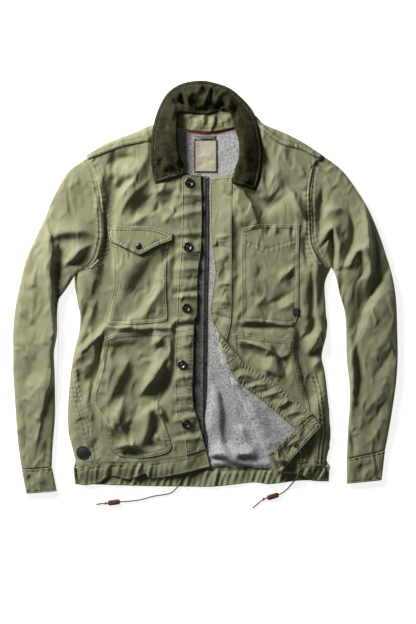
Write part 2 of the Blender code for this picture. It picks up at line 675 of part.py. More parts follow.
def make_back():
    under_ring = RING[TOP_POINTS:]
    armpit_left, tip_left = ARMHOLE_LEFT[-1], ARMHOLE_LEFT[0]
    armpit_right, tip_right = ARMHOLE_RIGHT[-1], ARMHOLE_RIGHT[0]
    outline = BACK_NECK + [Place(row.outer_x, row.outer_y) for row in YOKE_RIGHT[1:]]
    outline += [Place(tip_right.x - SEAM, tip_right.y)]
    outline += armhole_points(ARMHOLE_RIGHT, under_ring, -SEAM)[::-1]
    outline += [Place(armpit_right.x - 5 * SEAM, armpit_right.y)]
    outline += [p for p in SIDE_RIGHT[1:] if p.y > SIDE_SEAM_FOOT]
    outline += BACK_FOOT
    outline += [p for p in SIDE_LEFT[1:] if p.y > SIDE_SEAM_FOOT][::-1]
    outline += [Place(armpit_left.x + 5 * SEAM, armpit_left.y)]
    outline += armhole_points(ARMHOLE_LEFT, under_ring, SEAM) + [Place(tip_left.x + SEAM, tip_left.y)]
    outline += [Place(row.outer_x, row.outer_y) for row in YOKE_LEFT[1:-1]][::-1]
    slab("back_panel", outline, 0.0, TWILL, OLIVE)
    slab("back_lining", LINING, TWILL + SEAM, TWILL + SEAM + FLEECE, HEATHER, 0.95)
    slab("hem_band_back", HEM_BACK_TOP + HEM_BACK_EDGE, 0.0, 2 * TWILL + 0.6, OLIVE)


YOKE_COLUMNS = 5
YOKE_TILTS = (0.0, 0.12, 0.35, 0.62, 1.0)


def make_yoke(name, rows, side_edge, folds, armpit_y):
    """Strip of the back that comes over the shoulder to its seam on the front."""

    def place(u, v):
        at = v * (len(rows) - 1)
        first = min(int(at), len(rows) - 2)
        row = YokeRow(*(mix(a, b, at - first) for a, b in zip(rows[first], rows[first + 1])))
        out = YOKE_TILTS[round(u * (YOKE_COLUMNS - 1))]
        x, y = mix(row.outer_x, row.seam_x, out), mix(row.outer_y, row.seam_y, out)
        top = front_underside(side_edge, folds, armpit_y, row.seam_x, row.seam_y)
        return x, y, mix(SIDE_FOOT, top, math.sqrt(1 - (1 - out) ** 2))

    mesh = sheet(name, YOKE_COLUMNS - 1, 2 * (len(rows) - 1), place)
    piece = object_of(name, mesh, OLIVE)
    upwards = mesh.polygons[len(mesh.polygons) // 2].normal.z > 0
    if not upwards:
        mesh.flip_normals()
    return thicken(piece, TWILL)


# --- sleeves --------------------------------------------------------------------------------


def bowed(armhole, fraction, bow, row, across):
    """A section lies straight from its outer to its inner edge, or part way to the armhole's curve."""
    straight = Vector((mix(row.outer_x, row.inner_x, across), mix(row.outer_y, row.inner_y, across)))
    on_seam = along(armhole, [across])[0]
    chord = Vector((mix(armhole[0].x, armhole[-1].x, across), mix(armhole[0].y, armhole[-1].y, across)))
    bulge = Vector(on_seam) - chord
    return straight + Vector((bulge.x * bow, bulge.y * bow ** 4))


def make_tube(name, rows, sections, armhole):
    def place(u, v):
        ring = RING[round(u * len(RING)) % len(RING)]
        row = row_at(rows, v) if 0 < v < 1 else rows[round(v * (len(rows) - 1))]
        spot = bowed(armhole, v, row.bow, row, ring.across)
        return spot.x, spot.y, ring.up * row.rise

    mesh = tube(name, len(RING), sections, place)
    piece = object_of(name, mesh, OLIVE)
    bm = bmesh.new()
    bm.from_mesh(mesh)
    ends_down = sum((f.normal.z * f.calc_center_median().z for f in bm.faces))
    bm.free()
    if ends_down < 0:
        mesh.flip_normals()
    return thicken(piece, TWILL if name.startswith("sleeve") else DOUBLE_TWILL, -1.0)


# --- collar and neck ------------------------------------------------------------------------

COLLAR_COLUMNS = 4
COLLAR_SECTIONS = 26


def make_collar():
    def place(u, v):
        row = row_at(COLLAR, v)
        x, y = mix(row.roll_x, row.outer_x, u), mix(row.roll_y, row.outer_y, u)
        return x, y, mix(row.roll_z, row.outer_z, u ** 1.5) + COLLAR_CROWN * math.sin(math.pi * u)

    mesh = sheet("collar", COLLAR_COLUMNS, COLLAR_SECTIONS, place)
    if mesh.polygons[0].normal.z < 0:
        mesh.flip_normals()
    thicken(object_of("collar", mesh, DARK_OLIVE, 0.95), PILE)

    def stand_place(u, v):
        foot = along(STAND_SEAM, [u])[0]
        top = along(STAND_TOP, [u])[0]
        return mix(foot.x, top.x, v), mix(foot.y, top.y, v), mix(STAND_FOOT, STAND_RISE, v ** 0.7)

    mesh = sheet("collar_stand", 12, 4, stand_place)
    if mesh.polygons[0].normal.z < 0:
        mesh.flip_normals()
    thicken(object_of("collar_stand", mesh, OLIVE), TWILL)

    on_lining = TWILL + SEAM + FLEECE + SEAM
    tape = moved(NECK_TAPE, 0, TAPE_WIDTH / 2) + moved(NECK_TAPE, 0, -TAPE_WIDTH / 2)[::-1]
    slab("neck_tape", tape, on_lining, on_lining + 0.8, RED)
    slab("hanger_loop", HANGER_LOOP, on_lining, on_lining + 1.0, GREY)
    slab("neck_label", NECK_LABEL, on_lining, on_lining + 1.0, CREAM)


# --- hardware -------------------------------------------------------------------------------


def turned(name, profile, segments, colour, roughness, metallic, spot, z):
    """A profile of (radius, height) pairs turned round an upright axis."""
    bm = bmesh.new()
    verts = [bm.verts.new((r * MM, 0.0, h * MM)) for r, h in profile]
    for a, b in zip(verts, verts[1:]):
        bm.edges.new((a, b))
    if profile[0][0] > 0.01:
        bm.edges.new((verts[-1], verts[0]))
    piece = object_of(name, mesh_from(bm, name), colour, roughness, metallic)
    piece.location = (spot.x * MM, spot.y * MM, z * MM)
    screw = piece.modifiers.new("turn", "SCREW")
    screw.steps = screw.render_steps = segments
    screw.use_merge_vertices = True
    screw.merge_threshold = 1e-5
    return piece


def on_cloth(name, profile, segments, roughness, metallic, spot, under):
    """A turned piece at rest on the cloth pieces named under it; gives back its height."""
    z = top_at(under, spot.x, spot.y, max(point.radius for point in profile)) + SEAM
    turned(name, profile, segments, CHARCOAL, roughness, metallic, spot, z)
    return z


def make_buttons():
    for number, spot in enumerate(BUTTONS, 1):
        on_cloth(f"button_{number}", BUTTON_PROFILE, 16, 0.35, 0.0, spot, ["placket_left", "front_left"])
    on_cloth("flap_snap", SNAP_PROFILE, 16, 0.3, 0.8, FLAP_SNAP, ["chest_flap_left"])
    on_cloth("hem_badge", BADGE_PROFILE, 20, 0.6, 0.0, HEM_BADGE, ["front_left"])
    return on_cloth("hem_eyelet", EYELET_PROFILE, 12, 0.4, 0.6, HEM_EYELET, ["corner_hem_band"])


# --- cords and toggles ----------------------------------------------------------------------


def cord_points(route, under, toggle, start_z):
    """Points every few millimetres on a smooth curve, each lying on what is under it."""
    radius = CORD_DIAMETER / 2
    length = sum(math.dist(a, b) for a, b in zip(route, route[1:]))
    count = round(length / CORD_STEP)
    spots = [row_at(route, k / count) for k in range(count + 1)]
    tops = [top_at(under, spot.x, spot.y, radius + CORD_CLEARANCE) for spot in spots]
    if start_z:
        tops[0] = start_z - radius - SEAM
    points = []
    for k, spot in enumerate(spots):
        z = max(tops[max(k - 1, 0):k + 2]) + radius + SEAM
        if math.dist(spot, toggle) < TOGGLE_LENGTH * 0.6:
            z = TOGGLE_HEIGHT / 2 + 0.05
        points.append((spot.x, spot.y, z))
    return points


def make_cord(name, points):
    curve = bpy.data.curves.new(name, "CURVE")
    curve.dimensions = "3D"
    curve.bevel_depth = CORD_DIAMETER / 2 * MM
    curve.bevel_resolution = 2
    curve.use_fill_caps = True
    line = curve.splines.new("POLY")
    line.points.add(len(points) - 1)
    for point, spot in zip(line.points, points):
        point.co = (*(value * MM for value in spot), 1.0)
    made = bpy.data.objects.new(name, curve)
    COAT.objects.link(made)
    made.data.materials.append(material(name, OLIVE, 0.9))


def make_toggle(name, spot, heading):
    """A flat oblong bead with its bore along it, the cord's way."""
    bm = bmesh.new()
    bmesh.ops.create_cube(bm, size=1.0)
    bmesh.ops.scale(bm, verts=bm.verts, vec=(TOGGLE_LENGTH * MM, TOGGLE_WIDTH * MM, TOGGLE_HEIGHT * MM))
    piece = object_of(name, mesh_from(bm, name), TOGGLE_BROWN, 0.5)
    piece.location = (spot.x * MM, spot.y * MM, (TOGGLE_HEIGHT / 2 + 0.05) * MM)
    piece.rotation_euler.z = math.radians(heading)
    edge = piece.modifiers.new("edges", "BEVEL")
    edge.width = 1.6 * MM
    edge.segments = 2
    bm = bmesh.new()
    bmesh.ops.create_cone(
        bm, cap_ends=True, segments=12, radius1=TOGGLE_BORE / 2 * MM, radius2=TOGGLE_BORE / 2 * MM,
        depth=2 * TOGGLE_LENGTH * MM,
    )
    cutter = object_of(name + "_bore", mesh_from(bm, name + "_bore"))
    cutter.rotation_euler.y = math.pi / 2
    cutter.parent = piece
    bore = piece.modifiers.new("bore", "BOOLEAN")
    bore.operation = "DIFFERENCE"
    bore.object = cutter
    return piece


def make_cords(eyelet_top):
    make_toggle("toggle_left", *TOGGLE_LEFT)
    make_toggle("toggle_right", *TOGGLE_RIGHT)
    make_cord("drawcord_left", cord_points(CORD_LEFT, ["hem_band_back"], TOGGLE_LEFT[0], None))
    under = ["hem_band_back", "hem_band_right", "front_right", "lower_pocket_right", "corner_shell"]
    under += ["corner_hem_band", "hem_eyelet"]
    start_z = eyelet_top + CORD_OVER_EYELET
    make_cord("drawcord_right", cord_points(CORD_RIGHT, under, TOGGLE_RIGHT[0], start_z))


make_back()
make_fronts()
make_corner()
make_yoke("yoke_left", YOKE_LEFT, SIDE_LEFT, FOLDS_LEFT, ARMHOLE_LEFT[-1].y)
make_yoke("yoke_right", YOKE_RIGHT, SIDE_RIGHT, FOLDS_RIGHT, ARMHOLE_RIGHT[-1].y)
make_tube("sleeve_left", SLEEVE_LEFT, 19, ARMHOLE_LEFT)
make_tube("sleeve_right", SLEEVE_RIGHT, 19, ARMHOLE_RIGHT)
make_tube("cuff_left", CUFF_LEFT, 2, ARMHOLE_LEFT)
make_tube("cuff_right", CUFF_RIGHT, 2, ARMHOLE_RIGHT)
make_collar()
make_cords(make_buttons())
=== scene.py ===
import math
from collections import namedtuple

import bmesh
import bpy
import numpy as np
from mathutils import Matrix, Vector


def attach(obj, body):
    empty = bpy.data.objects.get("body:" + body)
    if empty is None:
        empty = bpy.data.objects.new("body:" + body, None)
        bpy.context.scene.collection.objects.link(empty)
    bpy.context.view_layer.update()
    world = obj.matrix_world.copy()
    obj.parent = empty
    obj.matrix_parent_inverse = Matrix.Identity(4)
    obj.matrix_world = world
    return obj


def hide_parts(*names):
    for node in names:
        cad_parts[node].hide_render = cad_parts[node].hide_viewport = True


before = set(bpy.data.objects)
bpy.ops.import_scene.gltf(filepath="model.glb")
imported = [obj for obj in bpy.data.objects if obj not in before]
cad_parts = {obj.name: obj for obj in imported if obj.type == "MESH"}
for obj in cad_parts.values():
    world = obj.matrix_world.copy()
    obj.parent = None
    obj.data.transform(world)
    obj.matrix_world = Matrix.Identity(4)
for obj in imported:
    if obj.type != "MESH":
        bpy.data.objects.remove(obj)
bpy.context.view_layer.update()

print("frame loaded")

mm = 0.001  # sizes below are in millimetres: X to the right, Y towards the collar, Z up from the table


# camera, light and table

studio = dict(
    lens=100.0,
    frameHeight=1.248,        # metres seen from the top to the foot of the picture
    centre=(0.004, -0.046),
    clothHeight=0.012,
    keyFrom=(-0.72, 0.69),    # where the lamp stands, as seen from above
    keyElevation=26.0,
    keyDistance=2.4,
    keyPower=113.0,
    keySize=1.15,
    skyColour=(0.93, 0.96, 1.0),
    skyStrength=0.07,
    tableColour=(0.46, 0.46, 0.455),
    tableGlow=0.85,
    tableSize=4.0,
    tableDrop=0.4,            # millimetres below the cloth
)


def meshFrom(bm, name):
    mesh = bpy.data.meshes.new(name)
    bm.to_mesh(mesh)
    bm.free()
    return mesh


def makeStudio():
    scene = bpy.context.scene
    scene.view_settings.view_transform = "Standard"

    data = bpy.data.cameras.new("studioCamera")
    data.lens = studio["lens"]
    data.sensor_width = 36.0
    camera = bpy.data.objects.new("studioCamera", data)
    distance = studio["lens"] / data.sensor_width * studio["frameHeight"] + studio["clothHeight"]
    camera.location = (*studio["centre"], distance)
    scene.collection.objects.link(camera)
    scene.camera = camera

    lamp = bpy.data.lights.new("keyLight", "AREA")
    lamp.shape = "DISK"
    lamp.size = studio["keySize"]
    lamp.energy = studio["keyPower"]
    key = bpy.data.objects.new("keyLight", lamp)
    rise = math.tan(math.radians(studio["keyElevation"])) * math.hypot(*studio["keyFrom"])
    towards = Vector((*studio["keyFrom"], rise)).normalized()
    key.location = Vector((*studio["centre"], 0)) + studio["keyDistance"] * towards
    key.rotation_mode = "QUATERNION"
    key.rotation_quaternion = (-towards).to_track_quat("-Z", "Y")
    scene.collection.objects.link(key)

    world = bpy.data.worlds.new("studioSky")
    world.use_nodes = True
    sky = world.node_tree.nodes["Background"]
    sky.inputs["Color"].default_value = (*studio["skyColour"], 1)
    sky.inputs["Strength"].default_value = studio["skyStrength"]
    scene.world = world

    bm = bmesh.new()
    bmesh.ops.create_grid(bm, x_segments=1, y_segments=1, size=studio["tableSize"])
    bmesh.ops.translate(bm, verts=bm.verts, vec=(0, 0, -studio["tableDrop"] * mm))
    mesh = meshFrom(bm, "table")
    table = bpy.data.objects.new("table", mesh)
    paint = bpy.data.materials.new("tablePaint")
    paint.use_nodes = True
    shader = paint.node_tree.nodes["Principled BSDF"]
    shader.inputs["Base Color"].default_value = (*studio["tableColour"], 1)
    shader.inputs["Roughness"].default_value = 0.9
    shader.inputs["Emission Color"].default_value = (1, 1, 1, 1)
    shader.inputs["Emission Strength"].default_value = studio["tableGlow"]
    mesh.materials.append(paint)
    scene.collection.objects.link(table)


makeStudio()
print("studio ready")


# curves through given points

def mix(a, b, t):
    return a + (b - a) * t


def ease(t):
    t = np.clip(t, 0.0, 1.0)
    return t * t * (3 - 2 * t)


def readRows(rows, t):
    # smooth value of every column at t, from 0 at the first row to 1 at the last
    rows = np.asarray(rows, float)
    last = len(rows) - 1
    at = np.clip(np.asarray(t, float), 0, 1) * last
    i = np.minimum(at.astype(int), last - 1)
    f = (at - i)[..., None]
    p1, p2 = rows[i], rows[i + 1]
    p0 = np.where((i > 0)[..., None], rows[np.maximum(i - 1, 0)], 2 * p1 - p2)
    p3 = np.where((i + 2 <= last)[..., None], rows[np.minimum(i + 2, last)], 2 * p2 - p1)
    bend = 2 * p0 - 5 * p1 + 4 * p2 - p3
    return 0.5 * (2 * p1 + (p2 - p0) * f + bend * f ** 2 + (3 * p1 - p0 - 3 * p2 + p3) * f ** 3)


def lineThrough(points, spacing=2.5, straight=False):
    # evenly spaced points on a smooth or straight-sided line
    points = np.asarray(points, float)
    if straight:
        fine = points
    else:
        fine = readRows(points, np.linspace(0, 1, 12 * (len(points) - 1) + 1))
    steps = np.hypot(*np.diff(fine[:, :2], axis=0).T)
    reach = np.concatenate([[0], np.cumsum(steps)])
    count = max(2, int(round(reach[-1] / spacing)) + 1)
    at = np.linspace(0, reach[-1], count)
    return np.stack([np.interp(at, reach, fine[:, k]) for k in range(fine.shape[1])], axis=1)


def onLine(line, fractions):
    # points of a dense line at fractions of its length
    steps = np.hypot(*np.diff(line[:, :2], axis=0).T)
    reach = np.concatenate([[0], np.cumsum(steps)])
    at = np.asarray(fractions) * reach[-1]
    return np.stack([np.interp(at, reach, line[:, k]) for k in range(line.shape[1])], axis=-1)


def nearLine(x, y, line):
    # distance to a dense line, the fraction along it, the side (1 on its left, -1 on its right), its length
    best = np.full(x.shape, 1e12)
    along = np.zeros(x.shape)
    side = np.ones(x.shape)
    steps = np.hypot(*np.diff(line, axis=0).T)
    reach = np.concatenate([[0], np.cumsum(steps)])
    for k in range(len(line) - 1):
        ax, ay = line[k]
        dx, dy = line[k + 1] - line[k]
        t = np.clip(((x - ax) * dx + (y - ay) * dy) / max(steps[k] ** 2, 1e-9), 0, 1)
        away = (x - ax - dx * t) ** 2 + (y - ay - dy * t) ** 2
        closer = away < best
        best = np.where(closer, away, best)
        along = np.where(closer, reach[k] + steps[k] * t, along)
        side = np.where(closer, np.sign(dx * (y - ay) - dy * (x - ax)), side)
    return np.sqrt(best), along / reach[-1], side, reach[-1]


def softNoise(x, y, cell, seed):
    # smooth random hills, about -1 to 1, cell millimetres apart
    lattice = np.random.default_rng(seed).uniform(-1, 1, (128, 128))
    gx, gy = x / cell + 40, y / cell + 40
    ix, iy = np.floor(gx).astype(int), np.floor(gy).astype(int)
    fx, fy = ease(gx - ix), ease(gy - iy)
    a, b = lattice[iy % 128, ix % 128], lattice[iy % 128, (ix + 1) % 128]
    c, d = lattice[(iy + 1) % 128, ix % 128], lattice[(iy + 1) % 128, (ix + 1) % 128]
    return mix(mix(a, b, fx), mix(c, d, fx), fy)


# folds: a path with the half-widths of its lit and shaded flanks, its height, and how round its crest is

Fold = namedtuple("Fold", "path lit shade rise crest", defaults=(1.3,))
lampSide = np.array(studio["keyFrom"])


def wavered(x, y, seed=7):
    # places shifted a little, so that folds and seams don't run like drawn curves
    amount = lie["waver"]
    shiftX = 4.0 * softNoise(x, y, 42, seed) + 1.8 * softNoise(x, y, 15, seed + 1)
    shiftY = 4.0 * softNoise(x, y, 42, seed + 2) + 1.8 * softNoise(x, y, 15, seed + 3)
    return x + amount * shiftX, y + amount * shiftY


def foldHeight(x, y, folds, depth=None):
    depth = lie["foldDepth"] if depth is None else depth
    total = np.zeros(x.shape)
    x, y = wavered(x, y)
    for fold in folds:
        line = lineThrough(fold.path, 5.0)
        reach = 3.6 * max(fold.lit, fold.shade)
        low, high = line.min(axis=0) - reach, line.max(axis=0) + reach
        near = (x > low[0]) & (x < high[0]) & (y > low[1]) & (y < high[1])
        if not near.any():
            continue
        away, along, side = nearLine(x[near], y[near], line)[:3]
        chord = line[-1] - line[0]
        leftIsLit = np.dot((-chord[1], chord[0]), lampSide) > 0
        isLit = (side > 0) == leftIsLit
        ends = ease(along / 0.42) * ease((1 - along) / 0.42)
        wide = lie["foldWidth"] * np.where(isLit, fold.lit, fold.shade) * mix(0.4, 1.0, ends)
        beyond = np.exp(-(np.hypot(away / wide, 0.12) - 0.12) ** fold.crest)
        total[near] += depth * fold.rise * mix(0.12, 1.0, ends) * beyond
    return total


def ticks(run, away, pitch, seed):
    # small slanting puckers at a stitched line, nearly even in their pitch
    phase = 2 * math.pi * run / pitch + 2.4 * softNoise(run, away, 2.6 * pitch, seed)
    strength = 0.55 + 0.45 * softNoise(run, away, 1.7 * pitch, seed + 1)
    return strength * np.sin(phase)


# seams: a path with its groove's depth, its puckers' height and spacing, how far they reach, and their side
Seam = namedtuple("Seam", "path groove pucker spacing reach side", defaults=(9.0, 0))


def seamMarks(x, y, seams):
    # the height of the grooves and puckers, and a colour mask: over 0 paler on the puckers' tops, as wear and
    # painted highlight; under 0 painted shade in the groove and between the puckers
    total = np.zeros(x.shape)
    seamPaintedLightAndWear = np.zeros(x.shape)
    for number, seam in enumerate(seams):
        line = lineThrough(seam.path, 5.0)
        reach = 3 * seam.reach
        low, high = line.min(axis=0) - reach, line.max(axis=0) + reach
        near = (x > low[0]) & (x < high[0]) & (y > low[1]) & (y < high[1])
        if not near.any():
            continue
        away, along, side, length = nearLine(x[near], y[near], line)
        run = along * length
        pucker = ticks(run + 0.45 * away, away, 1.9 * seam.spacing, 40 + number)
        onSide = np.where(side * seam.side >= 0, 1.0, 0.35)
        fade = ease(along / 0.04) * ease((1 - along) / 0.04)
        total[near] += seam.pucker * pucker * np.exp(-(away / seam.reach) ** 2) * onSide
        total[near] -= seam.groove * np.exp(-(away / 1.6) ** 2) * fade
        lip = np.exp(-((away * side * seam.side - 3.0) / 2.0) ** 2) * fade
        total[near] += 0.8 * seam.groove * lip * abs(seam.side)
        seamPaintedLightAndWear[near] += 0.9 * pucker * np.exp(-(away / seam.reach) ** 2) * onSide * fade
        # painted shade along the seam's groove, with a paler band beside it
        seamPaintedLightAndWear[near] += (0.4 * np.exp(-((away - 2.6) / 1.6) ** 2) - 0.8 * np.exp(-(away / 1.0) ** 2)) * fade
    return total, seamPaintedLightAndWear


def seamHeight(x, y, seams):
    return seamMarks(x, y, seams)[0]


# edges of the two fronts, as they lie

Front = namedtuple("Front", "armhole side neck centre hem hemEdge shoulder way top")

leftFront = Front(
    armhole=[(-241, 261), (-226, 231), (-216, 185), (-211, 134), (-211, 101), (-221, 62), (-239, 40),
             (-261, 31)],
    side=[(-261, 31), (-258, -22), (-252, -54), (-254, -86), (-262, -118), (-268, -150), (-272, -182),
          (-276, -230), (-276, -278), (-270, -310), (-262, -342), (-258, -374), (-252, -400)],
    neck=[(-92, 300), (-84, 282), (-76, 262), (-64, 242), (-41, 228), (-10, 231)],
    centre=[(-10, 231), (-8, 146), (-10, 75), (-16, 34), (-18, -48), (-23, -62), (-25, -135),
            (-26, -223), (-14, -269), (0, -321)],
    hem=[(-264, -358), (-200, -347), (-131, -346), (-37, -333), (0, -321)],
    hemEdge=[(-262, -391), (-241, -393), (-214, -388), (-202, -379), (-189, -374), (-154, -381),
             (-122, -370), (-108, -380), (-49, -370), (8, -356)],
    shoulder=[(-236, 262), (-202, 275), (-170, 287), (-132, 295), (-96, 301)],
    way=1,
    top=31,
)
rightFront = Front(
    armhole=[(236, 266), (220, 246), (215, 226), (211, 190), (212, 139), (215, 94), (226, 68), (239, 50),
             (250, 44)],
    side=[(250, 44), (238, 10), (240, -38), (242, -86), (232, -134), (238, -166), (244, -214),
          (248, -262), (248, -310), (242, -342), (240, -374), (234, -400)],
    neck=[(9, 220), (41, 228), (60, 236), (74, 258), (80, 288), (82, 314), (87, 334)],
    centre=[(9, 220), (8, 189), (9, 127), (11, 91), (15, 64), (18, 32), (13, -7), (9, -52), (24, -86)],
    hem=[(141, -355), (188, -356), (248, -354)],
    hemEdge=[(148, -368), (180, -370), (200, -376), (212, -384), (246, -386)],
    shoulder=[(88, 336), (114, 317), (148, 293), (188, 282), (210, 270), (228, 264)],
    way=-1,
    top=44,
)
turnedCorner = dict(
    fold=[(24, -86), (42, -142), (66, -200), (97, -262), (124, -320), (146, -372)],
    frontEdge=[(25, -86), (72, -142), (121, -175), (152, -198), (210, -246), (230, -273)],
    hemEdge=[(230, -273), (189, -319), (150, -364)],
    bandSeam=[(208, -249), (179, -280), (135, -324)],
    facingSeam=[(24, -112), (29, -144), (38, -161), (72, -193), (113, -224), (142, -249), (178, -280)],
    roll=5.4,
    lift=6.0,
    ease=45.0,
    creases=1.25,
    facingLift=2.6,
    bandLift=2.8,
    highest=38.0,
)

# how high and how crumpled the coat lies
lie = dict(
    bodyRise=13.4, centreRise=6.6, centreEase=34.0, hemRise=4.4, hemEase=40.0, lowest=2.8,
    sideRadius=16.0, rightSideRadius=40.0, sideFoot=1.5, cloth=1.2, armholeEase=8.0, armholeRise=13.0,
    layer=1.6,
    foldDepth=2.9, foldWidth=1.35, waver=1.0, crumple=0.44, highest=30.0,
)

# main folds of the left front and its pockets
leftFolds = [
    Fold([(-184, 286), (-186, 236), (-192, 160), (-194, 116), (-195, 60)], 9, 9, -6.5),
    Fold([(-194, 170), (-197, 116), (-196, 50), (-194, 6), (-206, -62), (-232, -110)], 10, 8, -8.0, 1.8),
    Fold([(-194, 60), (-198, -10), (-212, -60), (-240, -112)], 20, 7, -6.0, 2.0),
    Fold([(-200, 246), (-186, 258), (-164, 266), (-140, 262)], 6, 8, -4.0),
    Fold([(-174, 254), (-184.8, 236), (-182, 214), (-190, 190)], 8, 6, 3.5),
    Fold([(-136, 238), (-154, 222), (-172, 206), (-192, 170), (-200, 142)], 7, 8, -6.0),
    Fold([(-112, 278), (-130, 246), (-154, 212), (-176, 176), (-190, 146)], 14, 8, 5.5),
    Fold([(-114, 226), (-130, 210), (-156, 174), (-176, 140)], 12, 6, 3.5),
    Fold([(-96, 198), (-114, 180), (-136, 158), (-150, 134)], 6, 8, -3.6),
    Fold([(-112, 150), (-132, 142), (-160, 130)], 5, 5, 2.0),
    Fold([(-60, 202), (-72, 182), (-80, 162)], 9, 10, -3.2),
    Fold([(-92, 180), (-94, 164), (-104, 152)], 4, 4, -2.2),
    Fold([(-80, 218), (-96, 198), (-112, 172)], 6, 5, 2.2),
    Fold([(-64, 154), (-76, 142), (-92, 134)], 6, 5, 1.8),
    Fold([(-216, 242), (-206, 186), (-204, 126)], 6, 5, 2.0),
    # chest pocket
    Fold([(-66, 76), (-110, 34), (-124, -8), (-154, -46), (-186, -90)], 26, 9, -7.0, 2.0),
    Fold([(-112, 70), (-150, 28), (-168, -22)], 16, 12, 3.5, 2.0),
    Fold([(-78, 18), (-108, -22), (-132, -62)], 8, 9, 3.0),
    Fold([(-174, 54), (-178, -2), (-192, -52)], 6, 7, -2.0),
    Fold([(-86, 90), (-80, 54)], 5, 5, -2.5),
    # between the pockets, and the front beside the placket
    Fold([(-52, -84), (-112, -77), (-176, -78), (-212, -74)], 6, 5, 3.5),
    Fold([(-68, 98), (-62, 54), (-66, -2)], 7, 7, -2.5),
    Fold([(-58, -66), (-64, -106), (-68, -142)], 5, 8, -3.0),
    Fold([(-68, -82), (-70, -122), (-86, -154)], 4, 6, 2.5),
    # lower pocket
    Fold([(-200, -114), (-156, -120), (-112, -106)], 6, 12, -4.5, 2.0),
    Fold([(-76, -94), (-100, -106), (-124, -116), (-144, -120)], 7, 6, 2.4),
    Fold([(-80, -110), (-96, -122), (-116, -146)], 4, 4, -2.0),
    Fold([(-86, -98), (-96, -112)], 3, 4, 2.0),
    Fold([(-104, -56), (-116, -116), (-126, -166), (-134, -206), (-150, -266)], 34, 9, -7.5, 1.8),
    Fold([(-207, -90), (-210, -128), (-217, -163), (-226, -192), (-234, -226)], 3, 2.5, -7.0),
    Fold([(-146, -106), (-156, -136), (-166, -162), (-186, -200), (-210, -236)], 16, 8, 4.5),
    Fold([(-204, -118), (-204, -166), (-214, -206)], 6, 7, 2.0),
    Fold([(-80, -136), (-106, -176), (-130, -208), (-136, -226)], 12, 5, 7.5, 1.6),
    Fold([(-58, -150), (-88, -194), (-110, -222), (-140, -252)], 15, 8, -7.0, 2.0),
    Fold([(-150, -206), (-158, -240), (-150, -290)], 18, 14, 2.5),
    Fold([(-180, -222), (-176, -262), (-160, -294)], 8, 5, 3.0, 1.4),
    Fold([(-116, -222), (-118, -262), (-128, -302), (-130, -322)], 10, 7, 3.6, 1.5),
    Fold([(-106, -236), (-102, -270), (-118, -304)], 5, 9, -3.6, 2.0),
    Fold([(-222, -226), (-204, -256), (-183, -284), (-158, -310)], 8, 3, 4.0, 1.4),
    Fold([(-180, -316), (-162, -312), (-144, -314), (-128, -324)], 8, 3, 5.5, 1.5),
    Fold([(-176, -326), (-152, -330), (-130, -336)], 4, 6, -3.0),
    Fold([(-120, -218), (-106, -226), (-92, -242), (-80, -272)], 7, 3, 4.0, 1.5),
    Fold([(-132, -126), (-120, -142), (-112, -166)], 4, 5, -2.4),
    Fold([(-188, -126), (-192, -166), (-200, -206)], 6, 6, 2.0),
    Fold([(-160, -206), (-172, -238), (-164, -270)], 5, 4, 2.4),
    Fold([(-200, -230), (-188, -262), (-192, -294)], 5, 5, 2.0),
    Fold([(-148, -262), (-156, -294), (-144, -318)], 4, 4, -2.4),
    Fold([(-120, -298), (-104, -314), (-88, -314)], 4, 4, -2.6),
    Fold([(-112, -282), (-98, -294), (-86, -302)], 4, 3, 2.0),
    # side of the body
    Fold([(-200, -70), (-232, -112), (-268, -148)], 9, 6, 5.0),
    Fold([(-214, -96), (-236, -120), (-260, -136)], 5, 4, -3.2),
    Fold([(-224, -82), (-248, -108), (-260, -120)], 4, 4, -2.2),
    Fold([(-214, -142), (-228, -174), (-244, -198)], 6, 7, -3.8),
    Fold([(-260, -160), (-246, -184), (-232, -198)], 4, 4, -3.0),
    Fold([(-232, -206), (-240, -230), (-228, -270)], 5, 5, 2.0),
    Fold([(-216, -294), (-224, -318), (-210, -342)], 5, 5, -2.0),
    Fold([(-236, -22), (-244, -58), (-256, -94)], 7, 7, -3.0),
    Fold([(-212, -2), (-224, -42), (-240, -82)], 6, 6, 3.0),
    Fold([(-252, -22), (-254, -62), (-258, -102)], 5, 6, 2.2),
]
# small cross puckers of the button placket: Y, height
leftPlacketPuckers = [
    (188, 2.7), (166, -2.0), (150, 2.4), (110, 2.0), (102, -2.7), (74, 2.7), (56, -2.4), (40, 2.7),
    (20, -2.0),
    (-6, -3.4), (-14, 3.1), (-62, 2.7), (-72, -3.7), (-92, 2.0), (-120, -1.7), (-176, 2.7), (-196, -2.4),
    (-215, 2.0), (-246, -2.4), (-258, 2.7), (-290, -2.0), (-300, 2.4),
]

